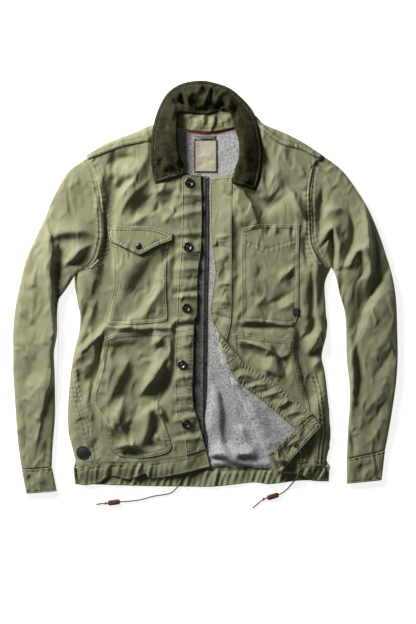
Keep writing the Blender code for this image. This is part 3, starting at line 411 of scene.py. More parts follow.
rightFolds = [
    Fold([(56, 210), (78, 174), (102, 134), (110, 114)], 24, 5, 5.5, 1.2),
    Fold([(74, 198), (96, 176), (122, 172), (146, 196)], 6, 9, -4.0, 1.6),
    Fold([(114, 298), (122, 248), (124, 198)], 5, 9, -3.0, 1.8),
    Fold([(160, 218), (174, 182), (188, 150), (200, 126)], 7, 6, 2.4),
    Fold([(88, 178), (116, 166), (140, 172), (162, 186)], 6, 6, -3.5),
    Fold([(74, 194), (96, 188), (116, 194)], 5, 5, -2.5),
    Fold([(172, 198), (186, 162), (200, 130)], 8, 8, 3.0),
    Fold([(152, 226), (172, 198), (180, 166)], 8, 8, -1.5),
    Fold([(62, 182), (64, 98), (62, 18), (60, -38)], 6, 6, -1.2),
    Fold([(53, 194), (54, 98), (52, -22)], 5, 4, 1.0),
    Fold([(112, 258), (140, 226), (156, 198)], 8, 7, 2.0),
    Fold([(209, 42), (210, -22), (206, -86)], 6, 8, -4.5),
    Fold([(220, 98), (222, 18), (216, -58)], 7, 7, 3.0),
    Fold([(200, 122), (202, 78), (200, 38)], 5, 6, -2.0),
    # chest pocket
    Fold([(176, 50), (154, 28), (140, 10)], 5, 6, 3.0),
    Fold([(176, 36), (160, 20)], 5, 4, -1.5),
    Fold([(178, -2), (148, -22), (124, -34)], 6, 6, -2.6),
    Fold([(178, -22), (150, -42)], 6, 6, 2.0),
    Fold([(104, 46), (116, 16)], 6, 6, -0.9),
    Fold([(122, -14), (94, -40)], 7, 7, 2.2),
    Fold([(88, 54), (84, 8), (92, -32)], 9, 9, 1.5),
    Fold([(122, 128), (124, 106)], 3, 3, -1.6),
    Fold([(136, 128), (138, 108)], 3, 3, 1.6),
    Fold([(170, 128), (172, 106)], 3, 3, -1.6),
    # placket creases
    Fold([(10, -28), (28, -24), (52, -28)], 4, 4, 2.0),
    Fold([(8, -52), (28, -54), (50, -62)], 4, 4, -2.2),
    Fold([(32, 58), (38, 34), (36, 10)], 5, 5, -2.2),
    Fold([(16, 106), (36, 104), (52, 106)], 3, 4, 1.6),
    Fold([(16, 86), (36, 84), (52, 78)], 4, 3, -1.6),
    Fold([(14, 54), (32, 62), (50, 74)], 5, 4, 1.4),
    Fold([(16, 2), (36, 10), (52, 8)], 4, 4, 1.6),
    # under the chest pocket and the lower pocket
    Fold([(64, -78), (112, -76), (156, -82)], 5, 5, -3.5),
    Fold([(60, -67), (108, -67), (168, -76)], 5, 4, 2.2),
    Fold([(68, -112), (92, -126), (116, -136), (130, -134)], 9, 6, -4.5),
    Fold([(74, -104), (100, -112), (128, -124), (148, -142)], 5, 4, 4.0, 1.5),
    Fold([(124, -112), (142, -126), (152, -144), (158, -170)], 6, 6, -3.5),
    Fold([(164, -122), (158, -146), (160, -174)], 6, 7, -3.0),
    Fold([(138, -114), (154, -134), (170, -122)], 5, 4, 3.0),
    Fold([(104, -154), (128, -166), (148, -182)], 14, 9, 4.0, 2.0),
    Fold([(148, -178), (132, -174), (112, -164)], 4, 7, -3.0),
    # side of the body beside the lower pocket
    Fold([(176, -64), (190, -110), (202, -160), (210, -206), (216, -262)], 10, 12, -8.5, 1.8),
    Fold([(218, -50), (206, -84), (188, -104)], 6, 6, -4.0),
    Fold([(194, 110), (200, 20), (206, -70), (212, -160)], 14, 24, 2.2, 2.0),
    Fold([(214, -170), (218, -240), (220, -330)], 8, 16, 2.2, 2.0),
    Fold([(236, -74), (220, -106), (200, -142)], 8, 6, 4.5),
    Fold([(238, -106), (218, -126), (196, -158)], 5, 5, -3.5),
    Fold([(236, -134), (216, -154), (202, -178)], 5, 5, 3.0),
    Fold([(232, -162), (214, -180), (204, -206)], 4, 5, -3.0),
    Fold([(220, -198), (216, -242), (222, -302)], 7, 7, 2.0),
    Fold([(224, 54), (228, -2), (230, -58)], 6, 6, -2.5),
    Fold([(198, -302), (204, -326), (200, -354)], 6, 6, -2.5),
]

leftSeams = [
    Seam([(-234, 257), (-222, 229), (-212, 184), (-207, 134), (-207, 101), (-216, 64), (-235, 43),
          (-258, 34)],
         1.4, 1.2, 5.0, 8.0, 1),
    Seam([(-228, 258), (-215, 227), (-205, 183), (-200, 134), (-200, 103), (-209, 68), (-229, 49),
          (-252, 41)],
         1.3, 1.6, 5.0, 9.0, 1),
    Seam([(-264, -154), (-258, -200), (-246, -241), (-235, -282), (-223, -326), (-215, -354)], 1.3, 1.1, 5.0,
         9.0, 1),
    Seam([(-271, -166), (-265, -204), (-254, -244), (-243, -284), (-231, -328), (-224, -356)], 1.1, 0.9, 5.0,
         8.0, -1),
]
rightSeams = [
    Seam([(231, 262), (217, 243), (212, 224), (208, 190), (209, 139), (212, 93), (223, 66), (236, 48),
          (247, 42)],
         1.4, 1.2, 5.0, 8.0, -1),
    Seam([(225, 259), (210, 240), (205, 222), (201, 190), (202, 140), (205, 92), (216, 62), (230, 43),
          (242, 36)],
         1.3, 1.6, 5.0, 9.0, -1),
    Seam([(220, -166), (230, -202), (235, -242), (237, -282), (234, -322), (231, -354)], 1.3, 1.0, 5.0, 9.0,
         -1),
    Seam([(78, 93), (100, 86), (122, 80), (152, 88), (182, 98)], 1.3, 0.9, 5.0, 7.0, -1),
    Seam([(214, -174), (223, -206), (228, -246), (230, -286), (227, -322), (224, -354)], 1.1, 0.8, 5.0, 8.0,
         -1),
]


# small crumples of the cloth: slant in degrees, spacing, stretch along the slant, height, seed
crumples = [(28, 26, 2.0, 2.2, 11), (-38, 17, 1.8, 1.5, 21), (64, 10, 1.6, 0.95, 31), (-5, 5.5, 1.3, 0.4, 41)]


# collar leaf: rows of outer edge X, Y, rolled edge X, Y, and the two heights

collar = dict(
    rows=[
        (-101, 210, -43, 229, 16.0, 20), (-109, 238, -47, 250, 16.0, 23), (-111, 266, -54, 270, 15.6, 24),
        (-109, 304, -56, 298, 14.4, 26), (-102, 342, -56, 330, 6, 25), (-89, 375, -54, 349, 4, 21),
        (-72, 398, -44, 352, 3, 17.5), (-45, 413, -30, 350, 3, 16), (-10, 418, -10, 348, 3, 16),
        (20, 413, 10, 349, 3, 16), (49, 402, 30, 356, 3, 17), (74, 381, 44, 354, 4, 21),
        (91, 361, 51, 342, 6, 25),
        (102, 337, 57, 320, 11, 27), (110, 304, 65, 294, 15.0, 28), (114, 266, 65, 262, 15.4, 28),
        (110, 228, 57, 238, 15.4, 26), (99, 197, 53, 211, 15.4, 23),
    ],
    crown=3.0, backRise=6.0, creases=2.6, pile=2.4, standFoot=8.0, standRise=13.0,
    standSeam=[(-64, 328), (-54, 323), (-35, 319), (1, 315), (32, 318.5), (57, 325), (66, 330)],
    standTop=[(-66, 354), (-55, 353), (-32, 352.5), (-4, 351.5), (29, 357), (47, 356), (60, 354)],
)

def underCollar(x, y):
    # highest that cloth may reach under the collar leaf and beside it
    edge = np.array(collar["rows"], float)
    away, along, side = nearLine(x, y, lineThrough(edge[:, :2], 6.0))[:3]
    reach = np.concatenate([[0], np.cumsum(np.hypot(*np.diff(edge[:, :2], axis=0).T))])
    level = np.interp(along, reach / reach[-1], edge[:, 4])
    return level - 2.6 + np.where(side > 0, 0.9 * away, 0.25 * away)


def edgeAt(edge, y):
    # X of a side edge at a height on the coat
    edge = np.asarray(edge, float)
    return np.interp(-y, -edge[:, 1], edge[:, 0])


def ringTop(across):
    # height of a sleeve's section across it, as a share of its rise
    return 0.45 + 0.55 * np.clip(1 - np.abs(2 * across - 1) ** 3.2, 0, 1) ** (1 / 2.6)


def wrinkles(x, y, seed, size=1.0):
    # crumples of washed cotton: rounded hills between pinched lines, in three slants and sizes
    u, v = wavered(x, y, seed + 60)
    where = 0.7 + 0.5 * softNoise(x, y, 70, seed + 4)
    total = 1.4 * softNoise(u, v, 55, seed)
    for turn, cell, stretch, height, number in crumples:
        c, s = math.cos(math.radians(turn)), math.sin(math.radians(turn))
        across, along = u * c + v * s, (v * c - u * s) / stretch
        wave = softNoise(across, along, cell, seed + number)
        total = total + height * (np.sqrt(wave ** 2 + 0.004) - 0.35)
        wave = softNoise(across + 9, along - 5, 1.3 * cell, seed + number + 1)
        total = total - 0.6 * height * (np.sqrt(wave ** 2 + 0.004) - 0.35)
    return lie["crumple"] * size * where * total


def bodyRise(x, y):
    # the lie of the fronts without folds: low at the open middle and at the hem
    rise = mix(lie["centreRise"], lie["bodyRise"], ease((np.abs(x) - 8) / lie["centreEase"]))
    return mix(lie["hemRise"], rise, ease((y + 396) / lie["hemEase"]))


def frontTop(front, folds, seams, seed, x, y):
    # top of a front's cloth, with its folds
    rise = bodyRise(x, y) + foldHeight(x, y, folds) + wrinkles(x, y, seed)
    rise = lie["highest"] - np.logaddexp(0, (lie["highest"] - rise) / 4.0) * 4.0
    rise = lie["lowest"] + np.logaddexp(0, (rise - lie["lowest"]) / 3.2) * 3.2
    inset = np.abs(x - edgeAt(front.side, y))
    radius = lie["sideRadius"] if front is leftFront else lie["rightSideRadius"]
    rounded = np.sqrt(np.clip(1 - (1 - np.clip(inset / radius, 0, 1)) ** 2, 0, 1))
    rounded = mix(lie["sideFoot"], rise, rounded)
    rise = mix(rounded, rise, ease((y - front.top) / 30))
    away, along = nearLine(x, y, lineThrough(front.armhole, 4.0))[:2]
    atArmhole = lie["armholeRise"] * ringTop(along) - 0.4
    rise = mix(mix(rise, atArmhole, ease((y - front.top + 24) / 20)), rise, ease(away / lie["armholeEase"]))
    return np.minimum(rise + seamHeight(x, y, seams) + lie["cloth"], underCollar(x, y))


def leftTop(x, y):
    x, y = np.asarray(x, float), np.asarray(y, float)
    top = frontTop(leftFront, leftFolds, leftSeams, 3, x, y)
    onPlacket = ease((x + 72) / 14)
    for at, rise in leftPlacketPuckers:
        slant = y - at - (0.12 + 0.02 * (at % 17 - 8)) * (x + 40)
        top = top + rise * onPlacket * np.exp(-(slant / 5.5) ** 2)
    return top


def rightTop(x, y):
    x, y = np.asarray(x, float), np.asarray(y, float)
    return frontTop(rightFront, rightFolds, rightSeams, 23, x, y)


# cloth made on a net of four edges

def gradedSteps(length, coarse=2.4, fine=0.9, reach=9.0):
    # fractions of a length, close together near both of its ends
    inner = np.arange(0, min(reach, length / 3), fine)
    count = max(2, int((length - 2 * reach) / coarse))
    middle = np.linspace(inner[-1] + fine, length - inner[-1] - fine, count)
    steps = np.concatenate([inner, middle, length - inner[::-1]])
    return steps / length


def net(top, right, bottom, left, across, down):
    # top and bottom run to the right, left and right run down
    edges = [lineThrough(edge, 1.5) for edge in (top, right, bottom, left)]
    u, v = across[None, :, None], down[:, None, None]
    upper, lower = onLine(edges[0], across)[None], onLine(edges[2], across)[None]
    near, far = onLine(edges[3], down)[:, None], onLine(edges[1], down)[:, None]
    corners = (1 - u) * (1 - v) * edges[0][0] + u * (1 - v) * edges[0][-1]
    corners = corners + (1 - u) * v * edges[2][0] + u * v * edges[2][-1]
    spots = (1 - v) * upper + v * lower + (1 - u) * near + u * far - corners
    return spots[..., 0], spots[..., 1]


def clothMesh(name, x, y, z, closed=False):
    rows, columns = x.shape
    mesh = bpy.data.meshes.new(name)
    spots = np.stack([x, y, z], axis=-1).reshape(-1, 3) * mm
    index = np.arange(rows * columns).reshape(rows, columns)
    if closed:
        index = np.concatenate([index, index[:, :1]], axis=1)
    quads = np.stack([index[:-1, :-1], index[1:, :-1], index[1:, 1:], index[:-1, 1:]], axis=-1).reshape(-1, 4)
    mesh.vertices.add(len(spots))
    mesh.vertices.foreach_set("co", spots.ravel())
    mesh.loops.add(quads.size)
    mesh.loops.foreach_set("vertex_index", quads.ravel())
    mesh.polygons.add(len(quads))
    mesh.polygons.foreach_set("loop_start", np.arange(0, quads.size, 4))
    mesh.update(calc_edges=True)
    mesh.validate()
    mesh.shade_smooth()
    return mesh


def crestOf(z):
    # how much each point stands above the points around it, from 0 to 1
    padded = np.pad(z, 4, mode="edge")
    rows, columns = z.shape
    around = sum(padded[a:a + rows, b:b + columns] for a in (0, 4, 8) for b in (0, 4, 8)) / 9
    return np.clip((z - around) * 0.9 + 0.25, 0, 1)


# colour mask on a mesh's points: over 0 paler, as wear and as painted highlight; under 0 painted shade
def wearAndPaintedLightLayer(mesh, values):
    layer = mesh.attributes.new("wearAndPaintedLightLayer", "FLOAT", "POINT")
    layer.data.foreach_set("value", np.asarray(values, np.float32).ravel())


def garmentPiece(name, mesh, node, paint="olive", thickness=1.0):
    piece = bpy.data.objects.new(name, mesh)
    bpy.context.scene.collection.objects.link(piece)
    mesh.materials.append(paints[paint])
    if thickness:
        wall = piece.modifiers.new("clothWall", "SOLIDIFY")
        wall.thickness = thickness * mm
        wall.offset = -1
    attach(piece, "root")
    if node:
        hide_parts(node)
    return piece


# finishes

def newGroup(name, inputs, outputs):
    group = bpy.data.node_groups.new(name, "ShaderNodeTree")
    for label, kind, value in inputs:
        socket = group.interface.new_socket(label, in_out="INPUT", socket_type=kind)
        socket.default_value = value
    for label, kind in outputs:
        group.interface.new_socket(label, in_out="OUTPUT", socket_type=kind)
    return group, group.nodes.new("NodeGroupInput"), group.nodes.new("NodeGroupOutput")


def addNode(tree, kind, links=None, **values):
    # values that name a socket set it, the others are properties of the node
    node = tree.nodes.new(kind)
    for label, value in values.items():
        setattr(node, label, value)
    for label, value in (links or {}).items():
        socket = node.inputs[label]
        if isinstance(value, bpy.types.NodeSocket):
            tree.links.new(value, socket)
        else:
            socket.default_value = value
    return node


def maths(tree, operation, a, b=0.0, clamp=False):
    return addNode(tree, "ShaderNodeMath", {0: a, 1: b}, operation=operation, use_clamp=clamp).outputs[0]


def blendColours(tree, amount, a, b, how="MIX"):
    node = addNode(tree, "ShaderNodeMix", data_type="RGBA", blend_type=how)
    for socket, value in zip((node.inputs[0], node.inputs[6], node.inputs[7]), (amount, a, b)):
        if isinstance(value, bpy.types.NodeSocket):
            tree.links.new(value, socket)
        else:
            socket.default_value = value
    return node.outputs[2]


def noiseAt(tree, vector, scale, detail=2.0, roughness=0.5):
    links = {"Vector": vector, "Scale": scale, "Detail": detail, "Roughness": roughness}
    return addNode(tree, "ShaderNodeTexNoise", links).outputs["Fac"]


def spread(tree, value, low, high):
    return addNode(tree, "ShaderNodeMapRange", {"Value": value, "From Min": low, "From Max": high}).outputs[0]


def makeTwillGroup():
    # steep diagonal ribs of a twill, broken up by uneven yarns
    group, given, made = newGroup(
        "twillWeave",
        [("Ribs per metre", "NodeSocketFloat", 900.0), ("Unevenness", "NodeSocketFloat", 0.35)],
        [("Height", "NodeSocketFloat"), ("Shade", "NodeSocketFloat")],
    )
    place = addNode(group, "ShaderNodeTexCoord").outputs["Object"]
    turned = addNode(group, "ShaderNodeMapping", {"Vector": place, "Rotation": (0, 0, math.radians(28))})
    scaled = addNode(group, "ShaderNodeVectorMath", {0: turned.outputs[0]}, operation="SCALE")
    group.links.new(given.outputs["Ribs per metre"], scaled.inputs["Scale"])
    drift = noiseAt(group, place, 260.0, 2.0)
    along = addNode(group, "ShaderNodeSeparateXYZ", {0: scaled.outputs[0]}).outputs["X"]
    shifted = maths(group, "ADD", along, maths(group, "MULTIPLY", drift, 1.6))
    rib = maths(group, "SINE", maths(group, "MULTIPLY", shifted, 2 * math.pi))
    yarn = noiseAt(group, place, 1500.0, 1.0)
    uneven = maths(group, "MULTIPLY", maths(group, "SUBTRACT", yarn, 0.5), given.outputs["Unevenness"])
    height = maths(group, "ADD", maths(group, "MULTIPLY", rib, 0.5), uneven)
    group.links.new(height, made.inputs["Height"])
    group.links.new(maths(group, "ADD", maths(group, "MULTIPLY", height, 0.5), 0.5), made.inputs["Shade"])
    return group


def makeCreaseGroup():
    # small sharp creases of cloth that was washed and not pressed, slanting one way
    group, given, made = newGroup(
        "fineCreases",
        [("Creases per metre", "NodeSocketFloat", 38.0), ("Sharpness", "NodeSocketFloat", 0.6)],
        [("Height", "NodeSocketFloat")],
    )
    place = addNode(group, "ShaderNodeTexCoord").outputs["Object"]
    links = {"Vector": place, "Rotation": (0, 0, 0.6), "Scale": (1.0, 0.62, 1.0)}
    slanted = addNode(group, "ShaderNodeMapping", links)
    links = {"Vector": slanted.outputs[0], "Detail": 4.0, "Distortion": 0.5}
    ridges = addNode(group, "ShaderNodeTexNoise", links, noise_type="RIDGED_MULTIFRACTAL", normalize=True)
    group.links.new(given.outputs["Creases per metre"], ridges.inputs["Scale"])
    group.links.new(given.outputs["Sharpness"], ridges.inputs["Roughness"])
    group.links.new(ridges.outputs["Fac"], made.inputs["Height"])
    return group


def makeFadeGroup():
    # washed cloth: blotches of dye; where the mask is over 0 a paler colour, as wear on seam edges and as a
    # painted highlight on crests and puckers; where it is under 0 painted shade in the seam grooves
    group, given, made = newGroup(
        "washedFade",
        [("Colour", "NodeSocketColor", (0.2, 0.2, 0.1, 1)),
         ("Rubbed colour", "NodeSocketColor", (0.4, 0.4, 0.3, 1)),
         ("Deep colour", "NodeSocketColor", (0.1, 0.1, 0.05, 1)),
         ("Seam colour", "NodeSocketColor", (0.05, 0.05, 0.03, 1)),
         ("Rubbing", "NodeSocketFloat", 0.5),
         ("Blotches", "NodeSocketFloat", 0.3)],
        [("Colour", "NodeSocketColor"), ("PaleWearAndHighlight", "NodeSocketFloat")],
    )
    place = addNode(group, "ShaderNodeTexCoord").outputs["Object"]
    wearAndPaintedLight = addNode(group, "ShaderNodeAttribute", attribute_name="wearAndPaintedLightLayer").outputs["Fac"]
    grain = noiseAt(group, place, 420.0, 3.0, 0.6)
    broken = maths(group, "MULTIPLY", wearAndPaintedLight, spread(group, grain, 0.25, 0.75))
    amount = maths(group, "MULTIPLY", broken, given.outputs["Rubbing"], clamp=True)
    blotch = spread(group, noiseAt(group, place, 16.0, 4.0, 0.6), 0.35, 0.7)
    deep = maths(group, "MULTIPLY", blotch, given.outputs["Blotches"], clamp=True)
    dyed = blendColours(group, deep, given.outputs["Colour"], given.outputs["Deep colour"])
    colour = blendColours(group, amount, dyed, given.outputs["Rubbed colour"])
    # painted shade: the dark colour where the mask is under 0, in seam grooves and between puckers
    paintedSeamShade = maths(group, "MULTIPLY", wearAndPaintedLight, -0.85, clamp=True)
    colour = blendColours(group, paintedSeamShade, colour, given.outputs["Seam colour"])
    group.links.new(colour, made.inputs["Colour"])
    group.links.new(amount, made.inputs["PaleWearAndHighlight"])
    return group


def makeHeatherGroup():
    # mixed light and dark fibres of a heather knit, brushed into short nap
    group, given, made = newGroup(
        "heatherFibres",
        [("Light fibre", "NodeSocketColor", (0.5, 0.5, 0.5, 1)),
         ("Dark fibre", "NodeSocketColor", (0.1, 0.1, 0.1, 1)),
         ("Fibre scale", "NodeSocketFloat", 330.0), ("Dark share", "NodeSocketFloat", 0.5)],
        [("Colour", "NodeSocketColor"), ("Height", "NodeSocketFloat")],
    )
    place = addNode(group, "ShaderNodeTexCoord").outputs["Object"]
    pulled = addNode(group, "ShaderNodeMapping", {"Vector": place, "Scale": (1.0, 0.8, 1.0)}).outputs[0]
    fine = addNode(group, "ShaderNodeTexNoise", {"Vector": pulled, "Detail": 3.0, "Roughness": 0.75})
    group.links.new(given.outputs["Fibre scale"], fine.inputs["Scale"])
    mask = maths(group, "ADD", spread(group, fine.outputs["Fac"], 0.4, 0.6), given.outputs["Dark share"])
    mask = maths(group, "SUBTRACT", mask, 0.5, clamp=True)
    cloud = spread(group, noiseAt(group, place, 45.0, 2.0), 0.2, 0.8)
    clouded = maths(group, "ADD", maths(group, "MULTIPLY", cloud, 0.35), 0.7)
    mask = maths(group, "MULTIPLY", mask, clouded, clamp=True)
    colour = blendColours(group, mask, given.outputs["Light fibre"], given.outputs["Dark fibre"])
    group.links.new(colour, made.inputs["Colour"])
    group.links.new(fine.outputs["Fac"], made.inputs["Height"])
    return group


def makePileGroup():
    # short upright pile, parted in soft streaks
    group, given, made = newGroup(
        "shortPile",
        [("Tip colour", "NodeSocketColor", (0.1, 0.1, 0.05, 1)),
         ("Root colour", "NodeSocketColor", (0.02, 0.02, 0.01, 1)),
         ("Streak scale", "NodeSocketFloat", 90.0)],
        [("Colour", "NodeSocketColor"), ("Height", "NodeSocketFloat")],
    )
    place = addNode(group, "ShaderNodeTexCoord").outputs["Object"]
    links = {"Vector": place, "Detail": 4.0, "Roughness": 0.65, "Distortion": 0.6}
    streak = addNode(group, "ShaderNodeTexNoise", links)
    group.links.new(given.outputs["Streak scale"], streak.inputs["Scale"])
    tips = noiseAt(group, place, 900.0, 2.0, 0.7)
    streaks = maths(group, "MULTIPLY", streak.outputs["Fac"], 0.55)
    height = maths(group, "ADD", streaks, maths(group, "MULTIPLY", tips, 0.45))
    lit = spread(group, height, 0.36, 0.64)
    colour = blendColours(group, lit, given.outputs["Root colour"], given.outputs["Tip colour"])
    group.links.new(colour, made.inputs["Colour"])
    group.links.new(height, made.inputs["Height"])
    return group


groups = dict(
    twill=makeTwillGroup(),
    creases=makeCreaseGroup(),
    fade=makeFadeGroup(),
    heather=makeHeatherGroup(),
    pile=makePileGroup(),
)


def newPaint(name, **sockets):
    paint = bpy.data.materials.new(name)
    paint.use_nodes = True
    tree = paint.node_tree
    shader = tree.nodes["Principled BSDF"]
    for label, value in sockets.items():
        shader.inputs[label.replace("_", " ")].default_value = value
    return paint, tree, shader


def placeGroup(tree, group, **values):
    node = addNode(tree, "ShaderNodeGroup", node_tree=groups[group])
    for label, value in values.items():
        node.inputs[label.replace("_", " ")].default_value = value
    return node


def bumpFrom(tree, shader, height, strength, distance):
    bump = addNode(tree, "ShaderNodeBump", {"Height": height, "Strength": strength, "Distance": distance})
    tree.links.new(bump.outputs[0], shader.inputs["Normal"])


def twillPaint(name, colour, wearAndPaintedLight, deep, wearAndHighlightStrength=0.6, blotches=0.35, sheen=0.1, ribDepth=0.07,
               creaseDepth=6.0):
    paint, tree, shader = newPaint(name, Roughness=0.86, Sheen_Weight=sheen, Sheen_Roughness=0.45,
                                   Specular_IOR_Level=0.25)
    weave = placeGroup(tree, "twill", Ribs_per_metre=620.0, Unevenness=0.5)
    # the pale colour is wear and painted highlight; the darkest colour is painted shade in the seam grooves
    fade = placeGroup(tree, "fade", Colour=(*colour, 1), Rubbed_colour=(*wearAndPaintedLight, 1), Deep_colour=(*deep, 1),
                 Seam_colour=tuple(0.3 * c for c in deep) + (1,), Rubbing=wearAndHighlightStrength, Blotches=blotches)
    shaded = blendColours(tree, 0.22, fade.outputs["Colour"], weave.outputs["Shade"], "MULTIPLY")
    tree.links.new(shaded, shader.inputs["Base Color"])
    creases = placeGroup(tree, "creases", Creases_per_metre=46.0, Sharpness=0.65)
    ribs = maths(tree, "MULTIPLY", weave.outputs["Height"], ribDepth)
    relief = maths(tree, "ADD", ribs, maths(tree, "MULTIPLY", creases.outputs["Height"], creaseDepth))
    bumpFrom(tree, shader, relief, 1.0, 0.001)
    return paint


def heatherPaint(name, light, dark, scale=330.0, share=0.5):
    paint, tree, shader = newPaint(name, Roughness=0.95, Sheen_Weight=0.25, Sheen_Roughness=0.6,
                                   Specular_IOR_Level=0.15)
    fibres = placeGroup(tree, "heather", Light_fibre=(*light, 1), Dark_fibre=(*dark, 1),
                        Fibre_scale=scale, Dark_share=share)
    tree.links.new(fibres.outputs["Colour"], shader.inputs["Base Color"])
    bumpFrom(tree, shader, fibres.outputs["Height"], 0.7, 0.0012)
    return paint


def pilePaint(name, tip, root):
    paint, tree, shader = newPaint(name, Roughness=0.9, Sheen_Weight=0.2, Sheen_Roughness=0.35,
                                   Specular_IOR_Level=0.12)
    shader.inputs["Sheen Tint"].default_value = (0.55, 0.52, 0.36, 1)
    pile = placeGroup(tree, "pile", Tip_colour=(*tip, 1), Root_colour=(*root, 1), Streak_scale=95.0)
    tree.links.new(pile.outputs["Colour"], shader.inputs["Base Color"])
    bumpFrom(tree, shader, pile.outputs["Height"], 0.8, 0.0018)
    return paint


def plainPaint(name, colour, roughness, grain=900.0, contrast=0.25, bump=0.2, **sockets):
    # cords, tapes, resin and metal: one colour with a fine uneven grain
    paint, tree, shader = newPaint(name, Roughness=roughness, **sockets)
    where = addNode(tree, "ShaderNodeTexCoord").outputs["Object"]
    fine = noiseAt(tree, where, grain, 3.0, 0.6)
    darker = tuple(c * (1 - contrast) for c in colour)
    lighter = tuple(min(1.0, c * (1 + contrast)) for c in colour)
    grained = blendColours(tree, spread(tree, fine, 0.3, 0.7), (*darker, 1), (*lighter, 1))
    tree.links.new(grained, shader.inputs["Base Color"])
    bumpFrom(tree, shader, fine, bump, 0.0004)
    return paint


paints = dict(
    olive=twillPaint("oliveTwill", (0.275, 0.272, 0.155), (0.43, 0.425, 0.29), (0.2, 0.197, 0.105)),
    inside=twillPaint("oliveTwillInside", (0.25, 0.25, 0.15), (0.36, 0.36, 0.25), (0.19, 0.19, 0.11), 0.4),
    thread=plainPaint("oliveThread", (0.33, 0.325, 0.2), 0.7, 2500.0, 0.2, 0.3),
    fleece=heatherPaint("heatherFleece", (0.52, 0.515, 0.50), (0.13, 0.13, 0.128), 380.0, 0.42),
    pile=pilePaint("collarPile", (0.05, 0.047, 0.02), (0.008, 0.0078, 0.0035)),
    label=plainPaint("labelCotton", (0.44, 0.405, 0.315), 0.9, 1300.0, 0.12, 0.4),
    labelEdge=plainPaint("labelBorder", (0.07, 0.068, 0.04), 0.9, 1300.0, 0.2, 0.4),
    redTape=plainPaint("redTape", (0.5, 0.02, 0.02), 0.75, 1500.0, 0.2, 0.4),
    loop=plainPaint("loopTwill", (0.14, 0.14, 0.13), 0.85, 1500.0, 0.3, 0.4),
    zipTape=heatherPaint("zipTape", (0.2, 0.2, 0.19), (0.02, 0.02, 0.018), 420.0, 0.6),
    zipTeeth=plainPaint("zipTeeth", (0.025, 0.023, 0.02), 0.35, 700.0, 0.3, 0.1),
    button=plainPaint("darkResin", (0.02, 0.018, 0.016), 0.32, 260.0, 0.35, 0.05, Coat_Weight=0.25),
    darkMetal=plainPaint("darkMetal", (0.06, 0.055, 0.045), 0.4, 320.0, 0.4, 0.15, Metallic=0.8),
    badge=plainPaint("badgeRubber", (0.016, 0.015, 0.014), 0.55, 600.0, 0.3, 0.15),
    tab=plainPaint("tabCloth", (0.02, 0.019, 0.017), 0.85, 1200.0, 0.3, 0.4),
    cord=plainPaint("oliveCord", (0.16, 0.155, 0.085), 0.85, 1400.0, 0.35, 0.7),
    toggle=plainPaint("toggleResin", (0.13, 0.045, 0.028), 0.5, 240.0, 0.45, 0.2),
)
print("finishes ready")


# drawcords, from the routes that the model has: X, Y, Z

drawcords = dict(
    diameter=2.8,
    knotLength=7.5,
    leftKnot=(-201, -429.4, 1.2),
    rightKnot=(116, -421.0, 1.2),
    left=[
        (-47, -375, 4.7), (-51, -385, 4.7), (-56, -395, 4.7), (-64, -404, 2.2), (-74, -410, 1.7),
        (-90, -413, 1.7), (-108, -416, 1.7), (-130, -422, 1.7), (-150, -425, 1.7), (-165, -426.2, 2.0),
        (-172, -426.5, 3.2), (-184, -427.5, 3.3), (-197, -429, 3.2), (-203, -429.5, 2.0), (-209, -430, 1.7),
        (-220, -432, 1.7),
    ],
    right=[
        (179, -312, 25.0), (184, -317, 24.0), (188, -324, 23.3), (190, -333, 17.4), (190, -342, 16.1),
        (188, -355, 14.6), (185, -367, 14.4), (181, -377, 13.6), (174, -388, 5.4), (165, -399, 1.8),
        (154, -408, 1.7), (145, -412, 3.2), (134, -415.5, 3.3), (122, -419, 3.2), (114, -422, 1.9),
        (104, -430, 1.7), (94, -439, 1.7),
    ],
    leftToggle=((-184.5, -427.6), 187.0),    # place and heading
    rightToggle=((134.0, -415.6), 197.0),
    toggle=(24.0, 11.0, 6.4),    # length, width, height
    bore=4.0,
)


def lengthOf(points):
    return float(np.sqrt((np.diff(np.asarray(points), axis=0) ** 2).sum(axis=1)).sum())


def cordAlong(name, spots, radius, resolution, node=None):
    curve = bpy.data.curves.new(name, "CURVE")
    curve.dimensions = "3D"
    curve.bevel_depth = radius * mm
    curve.bevel_resolution = resolution
    curve.use_fill_caps = True
    line = curve.splines.new("POLY")
    line.points.add(len(spots) - 1)
    for point, spot in zip(line.points, spots):
        point.co = (*(spot * mm), 1)
    line.use_smooth = True
    piece = bpy.data.objects.new(name, curve)
    bpy.context.scene.collection.objects.link(piece)
    curve.materials.append(paints["cord"])
    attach(piece, "root")
    if node:
        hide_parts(node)
    return piece


def turned(x, y, heading):
    c, s = math.cos(math.radians(heading)), math.sin(math.radians(heading))
    return x * c - y * s, x * s + y * c


def makeKnot(name, at, heading):
    # an overhand knot in the cord, drawn as one short turned loop
    turns = np.linspace(0, 1, 40)
    angle = turns * 4 * math.pi
    swell = np.sin(turns * math.pi)
    reach = drawcords["diameter"] * 0.8
    x, y = turned((turns - 0.5) * drawcords["knotLength"], reach * swell * np.cos(angle), heading)
    rise = reach * 0.8 * swell * np.sin(angle) + 1.7
    spots = np.stack([at[0] + x, at[1] + y, at[2] + rise], axis=1)
    return cordAlong(name, spots, drawcords["diameter"] * 0.42, 2)


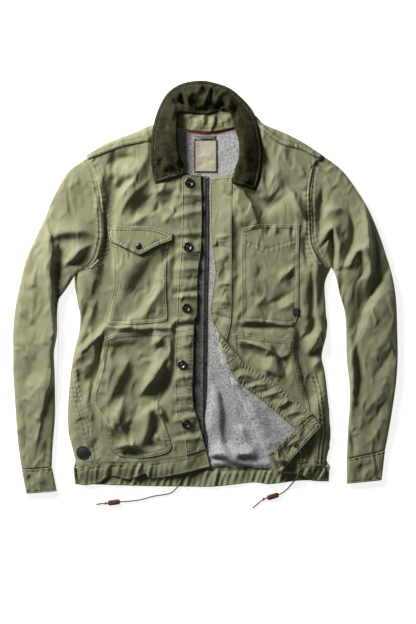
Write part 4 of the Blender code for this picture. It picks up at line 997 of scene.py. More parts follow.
def makeToggle(name, spot, heading, node):
    # a flat bead, a little barrel shaped, with the cord's bore along it
    length, width, height = drawcords["toggle"]
    bore = drawcords["bore"] / 2
    sections, around = 12, 20
    angles = [2 * math.pi * j / around for j in range(around)]
    bm = bmesh.new()
    rings = []
    for k in range(sections + 1):
        at = k / sections * 2 - 1
        full = (1 - 0.1 * at * at) * (1 - max(0.0, abs(at) - 0.86) ** 2 * 14)
        ring = []
        for a in angles:
            c, s = math.cos(a), math.sin(a)
            y = width / 2 * full * math.copysign(abs(c) ** 0.6, c)
            z = height / 2 * full * math.copysign(abs(s) ** 0.7, s)
            ring.append(bm.verts.new((at * length / 2, y, z)))
        rings.append(ring)
    for a, b in zip(rings, rings[1:]):
        for j in range(around):
            bm.faces.new((a[j], a[(j + 1) % around], b[(j + 1) % around], b[j]))
    bores = []
    for k, ring in ((0, rings[0]), (1, rings[-1])):
        hole = [bm.verts.new((ring[0].co.x * 0.97, bore * math.cos(a), bore * math.sin(a))) for a in angles]
        for j in range(around):
            corners = (ring[j], hole[j], hole[(j + 1) % around], ring[(j + 1) % around])
            bm.faces.new(corners if k else corners[::-1])
        bores.append(hole)
    for j in range(around):
        bm.faces.new((bores[0][j], bores[0][(j + 1) % around], bores[1][(j + 1) % around], bores[1][j])[::-1])
    bmesh.ops.recalc_face_normals(bm, faces=bm.faces)
    for vert in bm.verts:
        x, y = turned(vert.co.x, vert.co.y, heading)
        vert.co = ((spot[0] + x) * mm, (spot[1] + y) * mm, (vert.co.z + height / 2 + 0.1) * mm)
    mesh = meshFrom(bm, name)
    mesh.shade_smooth()
    return garmentPiece(name, mesh, node, "toggle", 0)


def makeDrawcords():
    for side in ("left", "right"):
        route = drawcords[side]
        points = readRows(route, np.linspace(0, 1, 7 * (len(route) - 1) + 1))
        cord = cordAlong(side + "Drawcord", points, drawcords["diameter"] / 2, 3, "drawcord_" + side)
        spot, heading = drawcords[side + "Toggle"]
        toggle = makeToggle(side + "Toggle", spot, heading, "toggle_" + side)
        back = np.array(route[-3]) - np.array(route[-2])
        knot = makeKnot(side + "Knot", drawcords[side + "Knot"], math.degrees(math.atan2(back[1], back[0])))


makeDrawcords()
print("drawcords laid")


# relief of a sewn edge: turned-under cloth, two lines of stitches and the puckers between them

edgeRelief = dict(
    firstStitch=2.6, secondStitch=8.6, groove=0.8, ridge=0.8, fall=0.9, pucker=0.75, spacing=7.0,
)


def sewnEdge(x, y, outline, seed, double=True, pucker=1.0):
    away, along, _, length = nearLine(x, y, lineThrough(outline, 3.5, straight=True))
    run = along * length
    relief = -edgeRelief["fall"] * np.exp(-(away / 0.8) ** 2)
    relief += edgeRelief["ridge"] * np.exp(-((away - 1.5) / 1.0) ** 2)
    relief -= edgeRelief["groove"] * np.exp(-((away - edgeRelief["firstStitch"]) / 0.7) ** 2)
    if double:
        relief -= edgeRelief["groove"] * np.exp(-((away - edgeRelief["secondStitch"]) / 0.9) ** 2)
        relief += 0.3 * np.exp(-((away - 5.4) / 2.2) ** 2)
    gathered = ticks(run + 0.4 * away, away, edgeRelief["spacing"], seed)
    relief += pucker * edgeRelief["pucker"] * gathered * np.exp(-((away - 6.0) / 3.8) ** 2)
    # colour mask: paler on the turned edge's ridge and the puckers' tops, as wear and painted highlight;
    # painted shade in the stitch grooves, at the edge's foot and between puckers
    wearAndPaintedLight = 0.75 * np.exp(-((away - 1.2) / 1.6) ** 2) + 0.35 * np.exp(-((away - 5.4) / 2.5) ** 2)
    wearAndPaintedLight += 0.8 * gathered * np.exp(-((away - 6.0) / 3.4) ** 2)
    wearAndPaintedLight -= 1.3 * np.exp(-((away - edgeRelief["firstStitch"]) / 0.8) ** 2)
    wearAndPaintedLight -= 1.0 * np.exp(-(away / 0.6) ** 2)
    if double:
        wearAndPaintedLight -= 1.0 * np.exp(-((away - edgeRelief["secondStitch"]) / 0.9) ** 2)
    return relief, wearAndPaintedLight


def outlineOf(*edges):
    # one closed outline from four smooth edges: top, right, bottom, left
    top, right, bottom, left = (lineThrough(edge, 3.0) for edge in edges)
    return np.concatenate([top[:-1], right[:-1], bottom[::-1][:-1], left[::-1]])


def netSteps(a, b, coarse=2.4, fine=0.9):
    longest = max(lengthOf(lineThrough(a, 4.0)), lengthOf(lineThrough(b, 4.0)))
    return gradedSteps(longest, coarse, fine)


threads = []  # every line of stitches: dense points in millimetres


def stitchAlong(path, surface, lift=0.12, straight=False):
    line = lineThrough(path, 1.1, straight)
    threads.append(np.column_stack([line, surface(line[:, 0], line[:, 1]) + lift]))


def insetEdge(edge, distance, trim=0.0):
    # a line beside an edge, to its left for a positive distance
    line = lineThrough(edge, 2.0)
    if trim:
        share = trim / lengthOf(line)
        line = onLine(line, np.linspace(share, 1 - share, len(line)))
    way = np.gradient(line, axis=0)
    way = way / np.linalg.norm(way, axis=1)[:, None]
    return line + distance * np.column_stack([-way[:, 1], way[:, 0]])


def panelOn(name, edges, surface, lift, node, thickness=1.0, seed=1, double=True, coarse=2.4, pucker=1.0,
            extra=None):
    # a cloth piece that lies on a surface, inside four edges: top, right, bottom, left
    across, down = netSteps(edges[0], edges[2], coarse), netSteps(edges[1], edges[3], coarse)
    x, y = net(*edges, across, down)
    relief, wearAndPaintedLight = sewnEdge(x, y, outlineOf(*edges), seed, double, pucker)
    base = surface(x, y)
    z = base + lift + relief
    if extra is not None:
        z = z + extra(x, y, across[None, :], down[:, None])
    mesh = clothMesh(name, x, y, z)
    # colour mask: painted highlight on crests, with the sewn edge's wear, painted highlight and painted shade
    wearAndPaintedLightLayer(mesh, np.clip(0.55 * crestOf(base) + wearAndPaintedLight, -1, 1))
    garmentPiece(name, mesh, node, thickness=thickness)


pockets = dict(
    chestLeft=[
        [(-193, 118), (-150, 120), (-110, 118), (-72, 112)],
        [(-72, 112), (-75, 96), (-79, 34), (-79, -6), (-76, -54)],
        [(-202, -62), (-195, -70), (-171, -72), (-87, -66), (-76, -54)],
        [(-193, 118), (-187, 90), (-183, 54), (-185, 4), (-200, -54), (-202, -62)],
    ],
    flap=[
        [(-198, 125), (-155, 125), (-112, 124), (-66, 111)],
        [(-66, 111), (-68, 97)],
        [(-193, 96), (-164, 83), (-140, 71), (-132, 68), (-123, 72), (-100, 85), (-68, 97)],
        [(-198, 125), (-193, 96)],
    ],
    chestRight=[
        [(72, 120), (88, 125), (113, 129), (150, 129), (188, 129)],
        [(188, 129), (186, 75), (186, 20), (185, -45)],
        [(71, -50), (76, -64), (112, -68), (149, -72), (177, -71), (185, -45)],
        [(72, 120), (71, 70), (71, 28), (71, -50)],
    ],
    lowerLeft=[
        [(-202, -96), (-177, -90), (-136, -87), (-95, -85), (-72, -90)],
        [(-72, -90), (-68, -142), (-76, -182), (-88, -211), (-95, -236), (-83, -268), (-72, -301),
         (-68, -315)],
        [(-191, -321), (-170, -335), (-122, -338), (-78, -328), (-68, -315)],
        [(-202, -96), (-205, -120), (-212, -163), (-221, -191), (-228, -223), (-216, -259), (-200, -292),
         (-191, -321)],
    ],
    lowerRight=[
        [(52, -89), (83, -92), (113, -96), (146, -100), (179, -103)],
        [(179, -103), (186, -159), (196, -198), (207, -236), (210, -302), (204, -346)],
        [(150, -350), (177, -349), (204, -346)],
        [(52, -89), (60, -170), (100, -260), (150, -350)],
    ],
)


def outerEdge(front, foot):
    # armhole and side of a front, down to its foot above the hem casing
    return front.armhole + [p for p in front.side[1:] if p[1] > -350] + [foot]


def frontOf(name, front, top, node, edges):
    across, down = netSteps(edges[0], edges[2], 2.8, 1.3), netSteps(edges[1], edges[3], 2.8, 1.3)
    x, y = net(*edges, across, down)
    z = top(x, y)
    mesh = clothMesh(name, x, y, z)
    away = nearLine(x, y, lineThrough(front.armhole, 4.0))[0]
    # colour mask: painted highlight on fold crests, paler beside the armhole seam as wear and painted
    # highlight, and the seams' painted shade and highlight
    wearAndPaintedLight = 0.5 * np.exp(-((away - 3) / 5) ** 2)
    seamPaintedLightAndWear = seamMarks(x, y, leftSeams if front is leftFront else rightSeams)[1]
    wearAndPaintedLightLayer(mesh, np.clip(0.6 * crestOf(z) + wearAndPaintedLight + seamPaintedLightAndWear, -1, 1))
    garmentPiece(name, mesh, node)


def onLeftLayer(x, y):
    # the face of what is sewn on the left front
    return leftTop(x, y) + lie["layer"]


def onRightLayer(x, y):
    return rightTop(x, y) + lie["layer"]


def stitchPocket(outline, sides, surface):
    # two lines of stitches inside each sewn side: 0 top, 1 right, 2 bottom, 3 left
    for k in sides:
        inwards = (-1, -1, 1, 1)[k]
        for inset in (edgeRelief["firstStitch"], edgeRelief["secondStitch"]):
            stitchAlong(insetEdge(outline[k], inwards * inset, inset), surface)


def flapLift(x, y, across, down):
    # the flap stands away from the pocket towards its point
    return 3.2 * down ** 1.4 + 0.8 * np.sin(across * math.pi) * down


def makeLeftFront():
    free, layer = leftFront.centre, lie["layer"]
    frontOf("leftFrontCloth", leftFront, leftTop, "front_left", [
        leftFront.shoulder + [(-92, 298)] + leftFront.neck[1:], free, leftFront.hem,
        outerEdge(leftFront, (-264, -358)),
    ])
    sewn = [(-47, 226), (-48, 136), (-50, 75), (-56, 4), (-62, -165), (-61, -209), (-58, -252), (-44, -292),
            (-39, -332)]
    edges = [[(-47, 224), (-28, 226), (-10, 229)], free, [(-39, -331), (-20, -327), (0, -321)], sewn]
    panelOn("leftPlacket", edges, leftTop, layer, "placket_left", seed=11, double=False, pucker=1.6)
    stitchAlong(insetEdge(sewn, 2.0, 4), onLeftLayer)
    stitchAlong(insetEdge(free, -3.0, 4), onLeftLayer)

    panelOn("leftChestPocket", pockets["chestLeft"], leftTop, layer, "chest_pocket_left", seed=12)
    panelOn("leftChestFlap", pockets["flap"], leftTop, 2 * layer, "chest_flap_left", 1.6, seed=13, coarse=1.8,
            extra=flapLift)
    panelOn("leftLowerPocket", pockets["lowerLeft"], leftTop, layer, "lower_pocket_left", seed=14, pucker=1.4)
    stitchPocket(pockets["chestLeft"], (1, 2, 3), onLeftLayer)
    stitchPocket(pockets["lowerLeft"], (0, 1, 2, 3), onLeftLayer)


def makeRightFront():
    free, layer = rightFront.centre, lie["layer"]
    frontOf("rightFrontCloth", rightFront, rightTop, "front_right", [
        rightFront.neck[:-1] + rightFront.shoulder, outerEdge(rightFront, (248, -354)), rightFront.hem,
        free + turnedCorner["fold"][1:-1] + [(141, -355)],
    ])
    sewn = [(52, 224), (52, 120), (52, 20), (51, -60), (42, -105)]
    edges = [[(9, 219), (30, 222), (52, 224)], sewn, [(24, -86), (33, -96), (42, -105)], free]
    panelOn("rightPlacket", edges, rightTop, layer, "placket_right", seed=21, double=False, pucker=1.4)
    stitchAlong(insetEdge(sewn, -2.0, 4), onRightLayer)
    stitchAlong(insetEdge(free, 3.0, 4), onRightLayer)
    panelOn("rightChestPocket", pockets["chestRight"], rightTop, layer, "chest_pocket_right", seed=22)
    panelOn("rightLowerPocket", pockets["lowerRight"], rightTop, layer, "lower_pocket_right", seed=23,
            pucker=1.2)
    stitchPocket(pockets["chestRight"], (0, 1, 2, 3), onRightLayer)
    stitchPocket(pockets["lowerRight"], (0, 1), onRightLayer)
    pocketHem = [(82, 86), (112, 79), (126, 80), (150, 89), (184, 97)]
    stitchAlong(pocketHem, onRightLayer)


makeLeftFront()
makeRightFront()
print("fronts laid")


# gathered hem casing

def gathers(x, y, path, seed, spacing, height):
    away, along, _, length = nearLine(x, y, lineThrough(path, 4.0))
    run = along * length
    wave = softNoise(run + 0.25 * away, away * 0.12, spacing, seed)
    return height * (wave + 0.5 * ticks(run + 0.3 * away, away, 1.3 * spacing, seed + 1))


def bandOf(name, node, edges, surface, seed, strength, thickness=1.8, grooves=(3.0, 7.5)):
    across, down = netSteps(edges[0], edges[2], 2.0, 1.4), netSteps(edges[1], edges[3], 1.7, 1.0)
    x, y = net(*edges, across, down)
    v = down[:, None]
    amount = strength(x) if callable(strength) else strength
    z = surface(x, y) + gathers(x, y, edges[0], seed, 9.0, 1.0) * amount * (0.25 + 0.75 * ease(v / 0.35))
    away = nearLine(x, y, lineThrough(edges[0], 4.0))[0]
    for groove in grooves:
        z = z - 0.5 * np.exp(-((away - groove) / 0.9) ** 2)
    foot = nearLine(x, y, lineThrough(edges[2], 4.0))[0]
    z = z - 1.0 * np.exp(-(foot / 1.0) ** 2) + 0.5 * np.exp(-((foot - 2.0) / 1.4) ** 2)
    z = np.maximum(z, thickness + 0.15)
    mesh = clothMesh(name, x, y, z)
    # colour mask: paler on the gathers' crests and at the foot, as wear and painted highlight; painted shade
    # in the stitch grooves
    wearAndPaintedLight = 0.8 * crestOf(z) + 0.6 * np.exp(-((foot - 1.5) / 2) ** 2)
    for groove in grooves:
        wearAndPaintedLight = wearAndPaintedLight - 1.1 * np.exp(-((away - groove) / 0.9) ** 2)
    wearAndPaintedLightLayer(mesh, np.clip(wearAndPaintedLight, -1, 1))
    garmentPiece(name, mesh, node, thickness=thickness)


hemCasing = dict(
    gatherAt=[-262, -215, -170, -130, -105, -60, 8],      # X along the left front's casing
    gatherHeight=[1.3, 2.4, 4.3, 4.3, 2.0, 0.8, 0.6],
    rightGather=4.2,
    backGather=3.2,
    back=[
        [(-255, -354), (-100, -354), (60, -354), (239, -354)],
        [(239, -354), (236, -385)],
        [(-246, -391), (-120, -395), (-51, -396), (18, -396), (94, -388), (128, -391), (190, -384),
         (236, -385)],
        [(-255, -354), (-246, -391)],
    ],
)


def backCasingTop(x, y):
    return 2.6 + 2.0 * ease((-362 - y) / 8)


def leftGathers(x):
    return np.interp(x, hemCasing["gatherAt"], hemCasing["gatherHeight"])


def makeHem():
    leftSeam, rightSeam = ([(p[0], p[1] - 0.5) for p in front.hem] for front in (leftFront, rightFront))
    edges = [leftSeam, [(0, -321.5), (8, -356)], leftFront.hemEdge, [(-264, -358.5), (-262, -391)]]
    bandOf("leftHemBand", "hem_band_left", edges, leftTop, 31, leftGathers)
    edges = [rightSeam, [(248, -354.5), (246, -386)], rightFront.hemEdge, [(141, -355.5), (148, -368)]]
    bandOf("rightHemBand", "hem_band_right", edges, rightTop, 33, hemCasing["rightGather"])
    bandOf("backHemBand", "hem_band_back", hemCasing["back"], backCasingTop, 35, hemCasing["backGather"],
           grooves=(5.0, 9.0))
    stitchAlong(insetEdge(leftFront.hem, -3.5, 4), leftTop, 0.3)
    stitchAlong(insetEdge(leftFront.hem, 2.5, 4), leftTop, 0.3)


makeHem()
print("hem laid")


# sleeves and cuffs: rows of outer X, Y, inner X, Y, rise, and how far the row still follows the armhole

sleeves = dict(
    left=[
        (-241, 261, -261, 31, 13, 1.0), (-276, 234, -265, 24, 15, 0.72), (-304, 186, -272, 12, 17, 0.45),
        (-324, 138, -279, 1, 19, 0.25), (-343, 98, -287, -10, 21, 0.1), (-360, 58, -294, -20, 19, 0.0),
        (-372, 10, -297, -34, 17, 0.0), (-381, -34, -298, -58, 18, 0.0), (-386, -82, -298, -90, 19, 0.0),
        (-386, -126, -304, -126, 17, 0.0), (-386, -166, -303, -166, 16, 0.0),
        (-383, -214, -302, -214, 17, 0.0),
        (-380, -262, -303, -262, 16, 0.0), (-376, -310, -307, -310, 15, 0.0),
        (-369, -361, -309, -357, 13, 0.0),
    ],
    right=[
        (236, 266, 250, 44, 13, 1.0), (272, 238, 256, 37, 15, 0.72), (302, 198, 260, 26, 17, 0.45),
        (326, 158, 263, 12, 19, 0.25), (345, 114, 266, -4, 20, 0.1), (360, 70, 271, -22, 19, 0.0),
        (374, 22, 277, -42, 17, 0.0), (381, -26, 280, -66, 18, 0.0), (383, -82, 281, -102, 17, 0.0),
        (384, -138, 282, -142, 16, 0.0), (381, -186, 287, -186, 16, 0.0), (375, -230, 288, -230, 15, 0.0),
        (368, -274, 285, -274, 14, 0.0), (359, -323, 282, -340, 12, 0.0),
    ],
    leftCuff=[(-369, -362, -308, -358, 13, 0.0), (-360, -410, -299, -405, 10, 0.0)],
    rightCuff=[(359, -324, 282, -341, 12, 0.0), (352, -383, 282, -390, 10, 0.0)],
    crumple=0.8,
    leftSeed=51,
    rightSeed=61,
    lowestTop=3.4,
    lowestUnder=0.35,
)
leftSleeveFolds = [
    Fold([(-322, 96), (-292, 107), (-256, 112), (-212, 106)], 14, 9, 3.6, 1.5),
    Fold([(-312, 92), (-296, 98), (-276, 100), (-252, 94)], 5, 9, -1.8),
    Fold([(-300, 44), (-270, 60), (-244, 80), (-218, 92)], 9, 5, 2.6, 1.5),
    Fold([(-300, 84), (-282, 64), (-262, 52)], 5, 7, -2.4),
    Fold([(-314, 136), (-309, 80), (-305, 10), (-303, -70)], 20, 3.5, 5.0, 1.5),
    Fold([(-304, 30), (-304, -58), (-306, -124), (-312, -182), (-326, -250), (-340, -320)], 18, 3.5, 4.0,
         1.5),
    Fold([(-294, 100), (-297, 54), (-298, 6), (-298, -50)], 4, 12, -2.2),
    Fold([(-250, 226), (-254, 178), (-250, 130)], 24, 20, -1.0, 2.0),
    Fold([(-232, 86), (-252, 66), (-276, 54)], 6, 5, 2.5),
    Fold([(-236, 72), (-256, 54), (-278, 44)], 4, 4, -2.0),
    Fold([(-324, 86), (-340, 54), (-354, 10)], 8, 8, -1.0),
    Fold([(-288, 74), (-292, 34), (-288, -2)], 6, 6, -2.5),
    Fold([(-352, 38), (-344, -22), (-346, -82)], 9, 8, 1.1),
    Fold([(-364, -22), (-344, -66), (-324, -102)], 7, 7, -1.0),
    Fold([(-368, -82), (-352, -122), (-332, -146)], 8, 7, 1.1),
    Fold([(-332, -122), (-352, -166), (-368, -198)], 7, 7, -1.1),
    Fold([(-320, -166), (-340, -202), (-360, -226)], 7, 7, 1.1),
    Fold([(-372, -222), (-356, -254), (-336, -270)], 6, 6, -0.9),
    Fold([(-324, -262), (-340, -302), (-356, -326)], 6, 6, 0.9),
    Fold([(-368, -282), (-362, -314), (-364, -346)], 5, 5, -0.9),
    Fold([(-320, -302), (-318, -330), (-322, -350)], 4, 4, -0.9),
]
rightSleeveFolds = [
    Fold([(234, 210), (228, 158), (226, 102)], 6, 9, -4.5),
    Fold([(228, 134), (248, 152), (284, 156)], 6, 10, 3.2),
    Fold([(285, 160), (290, 108), (284, 68), (270, 36)], 5, 9, -4.0),
    Fold([(226, 80), (240, 106), (250, 118), (258, 98), (266, 42)], 7, 4, 4.5, 1.5),
    Fold([(232, 84), (248, 106), (254, 66), (258, 30)], 4, 5, -6.5),
    Fold([(262, 44), (288, 52), (300, 74), (314, 78), (320, 52)], 7, 4, 3.8, 1.5),
    Fold([(290, 52), (304, 66), (314, 44), (306, 16)], 5, 7, -3.6),
    Fold([(320, 210), (323, 110), (326, 10), (324, -50)], 10, 4, 4.0, 1.5),
    Fold([(336, 118), (344, 62), (344, 6)], 7, 7, -2.0),
    Fold([(380, 60), (350, 20), (326, -24), (304, -84), (294, -120)], 16, 5, -5.5),
    Fold([(378, 20), (352, -14), (328, -56), (310, -104)], 5, 18, 1.1),
    Fold([(292, -90), (292, -142), (292, -202), (290, -266)], 5, 9, 4.0, 1.6),
    Fold([(304, -102), (306, -166), (304, -230)], 6, 7, -3.0),
    Fold([(372, -58), (352, -110), (320, -154)], 9, 8, 1.3),
    Fold([(376, -110), (356, -154), (328, -190)], 6, 7, -1.2),
    Fold([(368, -174), (348, -214), (316, -250)], 8, 7, 1.2),
    Fold([(364, -218), (344, -250), (316, -282)], 6, 6, -1.1),
    Fold([(352, -262), (336, -294), (312, -314)], 6, 6, 0.9),
    Fold([(288, -282), (292, -310), (290, -334)], 4, 4, -1.8),
    Fold([(276, 38), (274, -2), (282, -42)], 6, 6, -2.5),
    Fold([(260, 26), (268, -22), (280, -82)], 6, 6, 2.0),
]
sleeveSeams = dict(
    left=[
        Seam([(-244, 264), (-229, 232), (-219, 186), (-214, 134), (-214, 102), (-224, 64), (-242, 42),
              (-262, 34)],
             1.0, 2.2, 6.0, 9.0, -1),
        Seam([(-298, 74), (-295, -22), (-296, -124), (-300, -222), (-308, -326), (-310, -354)], 0.8, 1.6, 7.0,
             7.0),
    ],
    right=[
        Seam([(231, 256), (218, 234), (214, 190), (215, 140), (218, 96), (229, 70), (242, 52), (252, 46)],
             1.0, 2.2, 6.0, 9.0, 1),
    ],
)


def ringShape(above, below):
    # points evenly spaced round a sleeve's section, more of them above: across from 0 at the outer
    # edge to 1 at the inner one, and up from 0 below to 1 on top
    parts = []
    for count, start, flat, power in ((above, 0.0, 0.55, 2 / 2.6), (below, math.pi, 0.45, 2 / 4.0)):
        angle = start + np.linspace(0, math.pi, 4000)
        c, s = np.cos(angle), np.sin(angle)
        across = 0.5 - 0.5 * np.sign(c) * np.abs(c) ** (2 / 3.2)
        up = 0.45 + flat * np.sign(s) * np.abs(s) ** power
        reach = np.concatenate([[0], np.cumsum(np.hypot(np.diff(across) * 88, np.diff(up) * 17))])
        at = np.linspace(0, reach[-1], count, endpoint=False)
        parts.append((np.interp(at, reach, across), np.interp(at, reach, up)))
    return tuple(np.concatenate(pair) for pair in zip(*parts))


def tubePiece(name, rows, armhole, folds, seams, node, thickness, sections, around, seed, tuck=0.0):
    down = np.linspace(0, 1, sections)
    across, up = ringShape(around, around // 3)
    row = readRows(rows, down)
    ox, oy, ix, iy, rise, bow = (row[:, k][:, None] for k in range(6))
    a = across[None, :]
    x, y = mix(ox, ix, a), mix(oy, iy, a)
    if armhole is not None:
        line = lineThrough(armhole, 1.5)
        onSeam = onLine(line, across)
        chord = line[0] + (line[-1] - line[0]) * across[:, None]
        bulge = onSeam - chord
        bow = np.clip(bow, 0, 1)
        x = x + bulge[None, :, 0] * bow
        y = y + bulge[None, :, 1] * bow ** 4
    z = up[None, :] * rise
    onTop = ease((up[None, :] - 0.35) / 0.5) * np.ones_like(z)
    seam, seamPaintedLightAndWear = seamMarks(x, y, seams)
    shape = foldHeight(x, y, folds) + wrinkles(x, y, seed, sleeves["crumple"]) + seam
    under = softNoise(x, y * 0.5, 30, seed + 9) + 0.6 * softNoise(x, y, 14, seed + 10)
    z = z + shape * onTop + np.clip(under, 0, 2) * 1.6 * ease((0.3 - up[None, :]) / 0.3)
    z = np.maximum(z, sleeves["lowestUnder"])
    z = np.where(onTop > 0.5, np.maximum(z, sleeves["lowestTop"]), z)
    if tuck:
        # the seam allowance runs in under the armhole's edge
        inwards = np.stack([x[0] - x[6], y[0] - y[6]], axis=-1)
        inwards /= np.linalg.norm(inwards, axis=1)[:, None]
        x = np.vstack([x[0] + inwards[:, 0] * tuck, x])
        y = np.vstack([y[0] + inwards[:, 1] * tuck, y])
        z = np.vstack([z[0] * 0.9, z])
        onTop = np.vstack([onTop[0], onTop])
        seamPaintedLightAndWear = np.vstack([seamPaintedLightAndWear[0], seamPaintedLightAndWear])
    mesh = clothMesh(name, x, y, z, closed=True)
    if mesh.polygons[(sections // 2) * len(across) + around // 2].normal.z < 0:
        mesh.flip_normals()
    # colour mask: painted highlight on fold crests and the seams' painted shade and highlight on the sleeve's
    # top, and a paler band along its sides
    wearAndPaintedLight = 0.5 * np.exp(-((up[None, :] - 0.5) / 0.12) ** 2) * np.ones_like(z)
    wearAndPaintedLightLayer(mesh, np.clip((0.6 * crestOf(z) + seamPaintedLightAndWear) * onTop + wearAndPaintedLight, -1, 1))
    garmentPiece(name, mesh, node, thickness=thickness)


def sleeveTop(side, x, y):
    # height of a sleeve's upper face, for what is stitched on it
    x, y = np.asarray(x, float), np.asarray(y, float)
    rows = np.asarray(sleeves[side], float)
    fine = readRows(rows, np.linspace(0, 1, 160))
    mid = (fine[:, 0:2] + fine[:, 2:4]) / 2
    nearest = np.argmin((x[:, None] - mid[:, 0]) ** 2 + (y[:, None] - mid[:, 1]) ** 2, axis=1)
    row = fine[nearest]
    span = np.hypot(row[:, 2] - row[:, 0], row[:, 3] - row[:, 1])
    across = (x - row[:, 0]) * (row[:, 2] - row[:, 0]) + (y - row[:, 1]) * (row[:, 3] - row[:, 1])
    across = across / span ** 2
    folds = leftSleeveFolds if side == "left" else rightSleeveFolds
    rise = row[:, 4] * ringTop(np.clip(across, 0, 1))
    crumpled = wrinkles(x, y, sleeves[side + "Seed"], sleeves["crumple"])
    return rise + foldHeight(x, y, folds) + crumpled + seamHeight(x, y, sleeveSeams[side])


def makeSleeves():
    tubePiece("leftSleeve", sleeves["left"], leftFront.armhole, leftSleeveFolds, sleeveSeams["left"],
              "sleeve_left", 1.0, 225, 60, sleeves["leftSeed"], tuck=7.0)
    tubePiece("rightSleeve", sleeves["right"], rightFront.armhole, rightSleeveFolds, sleeveSeams["right"],
              "sleeve_right", 1.0, 225, 60, sleeves["rightSeed"], tuck=7.0)
    folds = [
        Fold([(-352, -372), (-350, -395)], 4, 4, -1.2),
        Fold([(-330, -368), (-328, -400)], 5, 5, 1.2),
    ]
    seams = [
        Seam([(-368, -366), (-308, -362)], 0.5, 1.0, 6.0, 5.0),
        Seam([(-361, -406), (-300, -401)], 0.5, 0.8, 6.0, 4.0),
    ]
    tubePiece("leftCuff", sleeves["leftCuff"], None, folds, seams, "cuff_left", 1.8, 34, 50, 71)
    folds = [Fold([(310, -345), (312, -380)], 5, 5, -1.2)]
    seams = [
        Seam([(358, -329), (283, -345)], 0.5, 1.0, 6.0, 5.0),
        Seam([(352, -379), (283, -386)], 0.5, 0.8, 6.0, 4.0),
    ]
    tubePiece("rightCuff", sleeves["rightCuff"], None, folds, seams, "cuff_right", 1.8, 38, 50, 73)


makeSleeves()
print("sleeves laid")


# the back, its shoulder strips, the lining

shoulders = dict(
    left=dict(outer=[(-102, 330), (-142, 314), (-186, 298), (-218, 282), (-240, 268)],
              seam=[(-96, 301), (-132, 295), (-170, 287), (-202, 275), (-236, 262)]),
    right=dict(outer=[(92, 350), (116, 331), (156, 314), (188, 298), (212, 283), (232, 270)],
               seam=[(88, 336), (114, 317), (148, 293), (188, 282), (210, 270), (228, 264)]),
)


def heightsOf(x, y, z):
    # reads the height of a laid piece at its nearest points
    spots = np.stack([x.ravel(), y.ravel()], axis=1)
    z = z.ravel()

    def nearest(px, py):
        return np.array([z[np.argmin(((spots - at) ** 2).sum(axis=1))] for at in zip(px, py)])
    return nearest


def makeShoulder(side, top, seed):
    outer, seam = shoulders[side]["outer"], shoulders[side]["seam"]
    if side == "left":
        outer, seam = outer[::-1], seam[::-1]
    seam = [(p[0], p[1] - 3.0) for p in seam]
    across = netSteps(outer, seam, 2.4)
    down = np.linspace(0, 1, 34)
    x, y = net(outer, [outer[-1], seam[-1]], seam, [outer[0], seam[0]], across, down)
    onSeam = onLine(lineThrough(seam, 1.5), across)
    level = top(onSeam[:, 0], onSeam[:, 1]) + 1.3
    full = np.sqrt(np.clip(1 - (1 - down[:, None]) ** 2, 0, 1))
    z = mix(1.6, level[None, :], full) + 0.6 * softNoise(x, y, 14, seed) * full
    away, along, _, length = nearLine(x, y, lineThrough(seam, 3.0))
    z = z + 2.2 * np.exp(-((away - 5.0) / 5.4) ** 8) - 0.9 * np.exp(-(away / 0.8) ** 2)
    for groove in (2.4, 8.0):
        z = z - 0.9 * np.exp(-((away - groove) / 0.9) ** 2)
    z = z + 0.6 * ticks(along * length, away, 8.0, seed + 1) * ease(away / 4) * np.exp(-((away - 5) / 6) ** 2)
    z = np.maximum(np.minimum(z, underCollar(x, y) + 0.6), 1.4)
    mesh = clothMesh(side + "Shoulder", x, y, z)
    # colour mask: paler on crests and the raised band, as wear and painted highlight; painted shade in the
    # grooves and between the puckers
    wearAndPaintedLight = 0.5 * crestOf(z) + 0.6 * np.exp(-((away - 5.2) / 2) ** 2)
    wearAndPaintedLight = wearAndPaintedLight - 1.0 * np.exp(-((away - 10.8) / 1.0) ** 2)
    for groove in (0.2, 2.6, 8.0):
        wearAndPaintedLight = wearAndPaintedLight - 1.1 * np.exp(-((away - groove) / 0.9) ** 2)
    wearAndPaintedLight = wearAndPaintedLight + 0.8 * ticks(along * length, away, 8.0, seed + 1) * np.exp(-((away - 5) / 4) ** 2)
    wearAndPaintedLightLayer(mesh, np.clip(wearAndPaintedLight, -1, 1))
    for groove in (2.4, 8.0):
        stitchAlong(insetEdge(seam, groove, 6), heightsOf(x, y, z), 0.3)
    garmentPiece(side + "Shoulder", mesh, "yoke_" + side)


liningFolds = [
    Fold([(10, -166), (26, -196), (36, -250), (44, -300), (62, -346)], 5, 9, -1.5, 1.5),
    Fold([(4, -160), (18, -196), (26, -250), (34, -306), (50, -350)], 12, 5, 2.6, 1.6),
    Fold([(56, -236), (66, -262), (76, -290), (92, -316)], 7, 4, 1.8, 1.5),
    Fold([(4, -174), (20, -190), (32, -214)], 6, 6, -1.6),
    Fold([(12, -214), (10, -262), (16, -302)], 10, 8, 1.6),
    Fold([(52, -270), (66, -266), (82, -272)], 9, 7, -2.6),
    Fold([(0, -336), (24, -328), (46, -334), (64, -348), (86, -354)], 10, 4, 5.5, 1.6),
    Fold([(52, -314), (68, -330), (92, -332), (112, -344)], 8, 5, 4.5),
    Fold([(0, -352), (28, -348), (52, -354)], 4, 6, -2.0),
    Fold([(-36, 278), (-34, 218), (-30, 168)], 5, 5, -0.8),
    Fold([(32, 278), (44, 258), (54, 238)], 6, 7, -0.8),
    Fold([(12, 218), (20, 168)], 5, 5, 0.8),
]
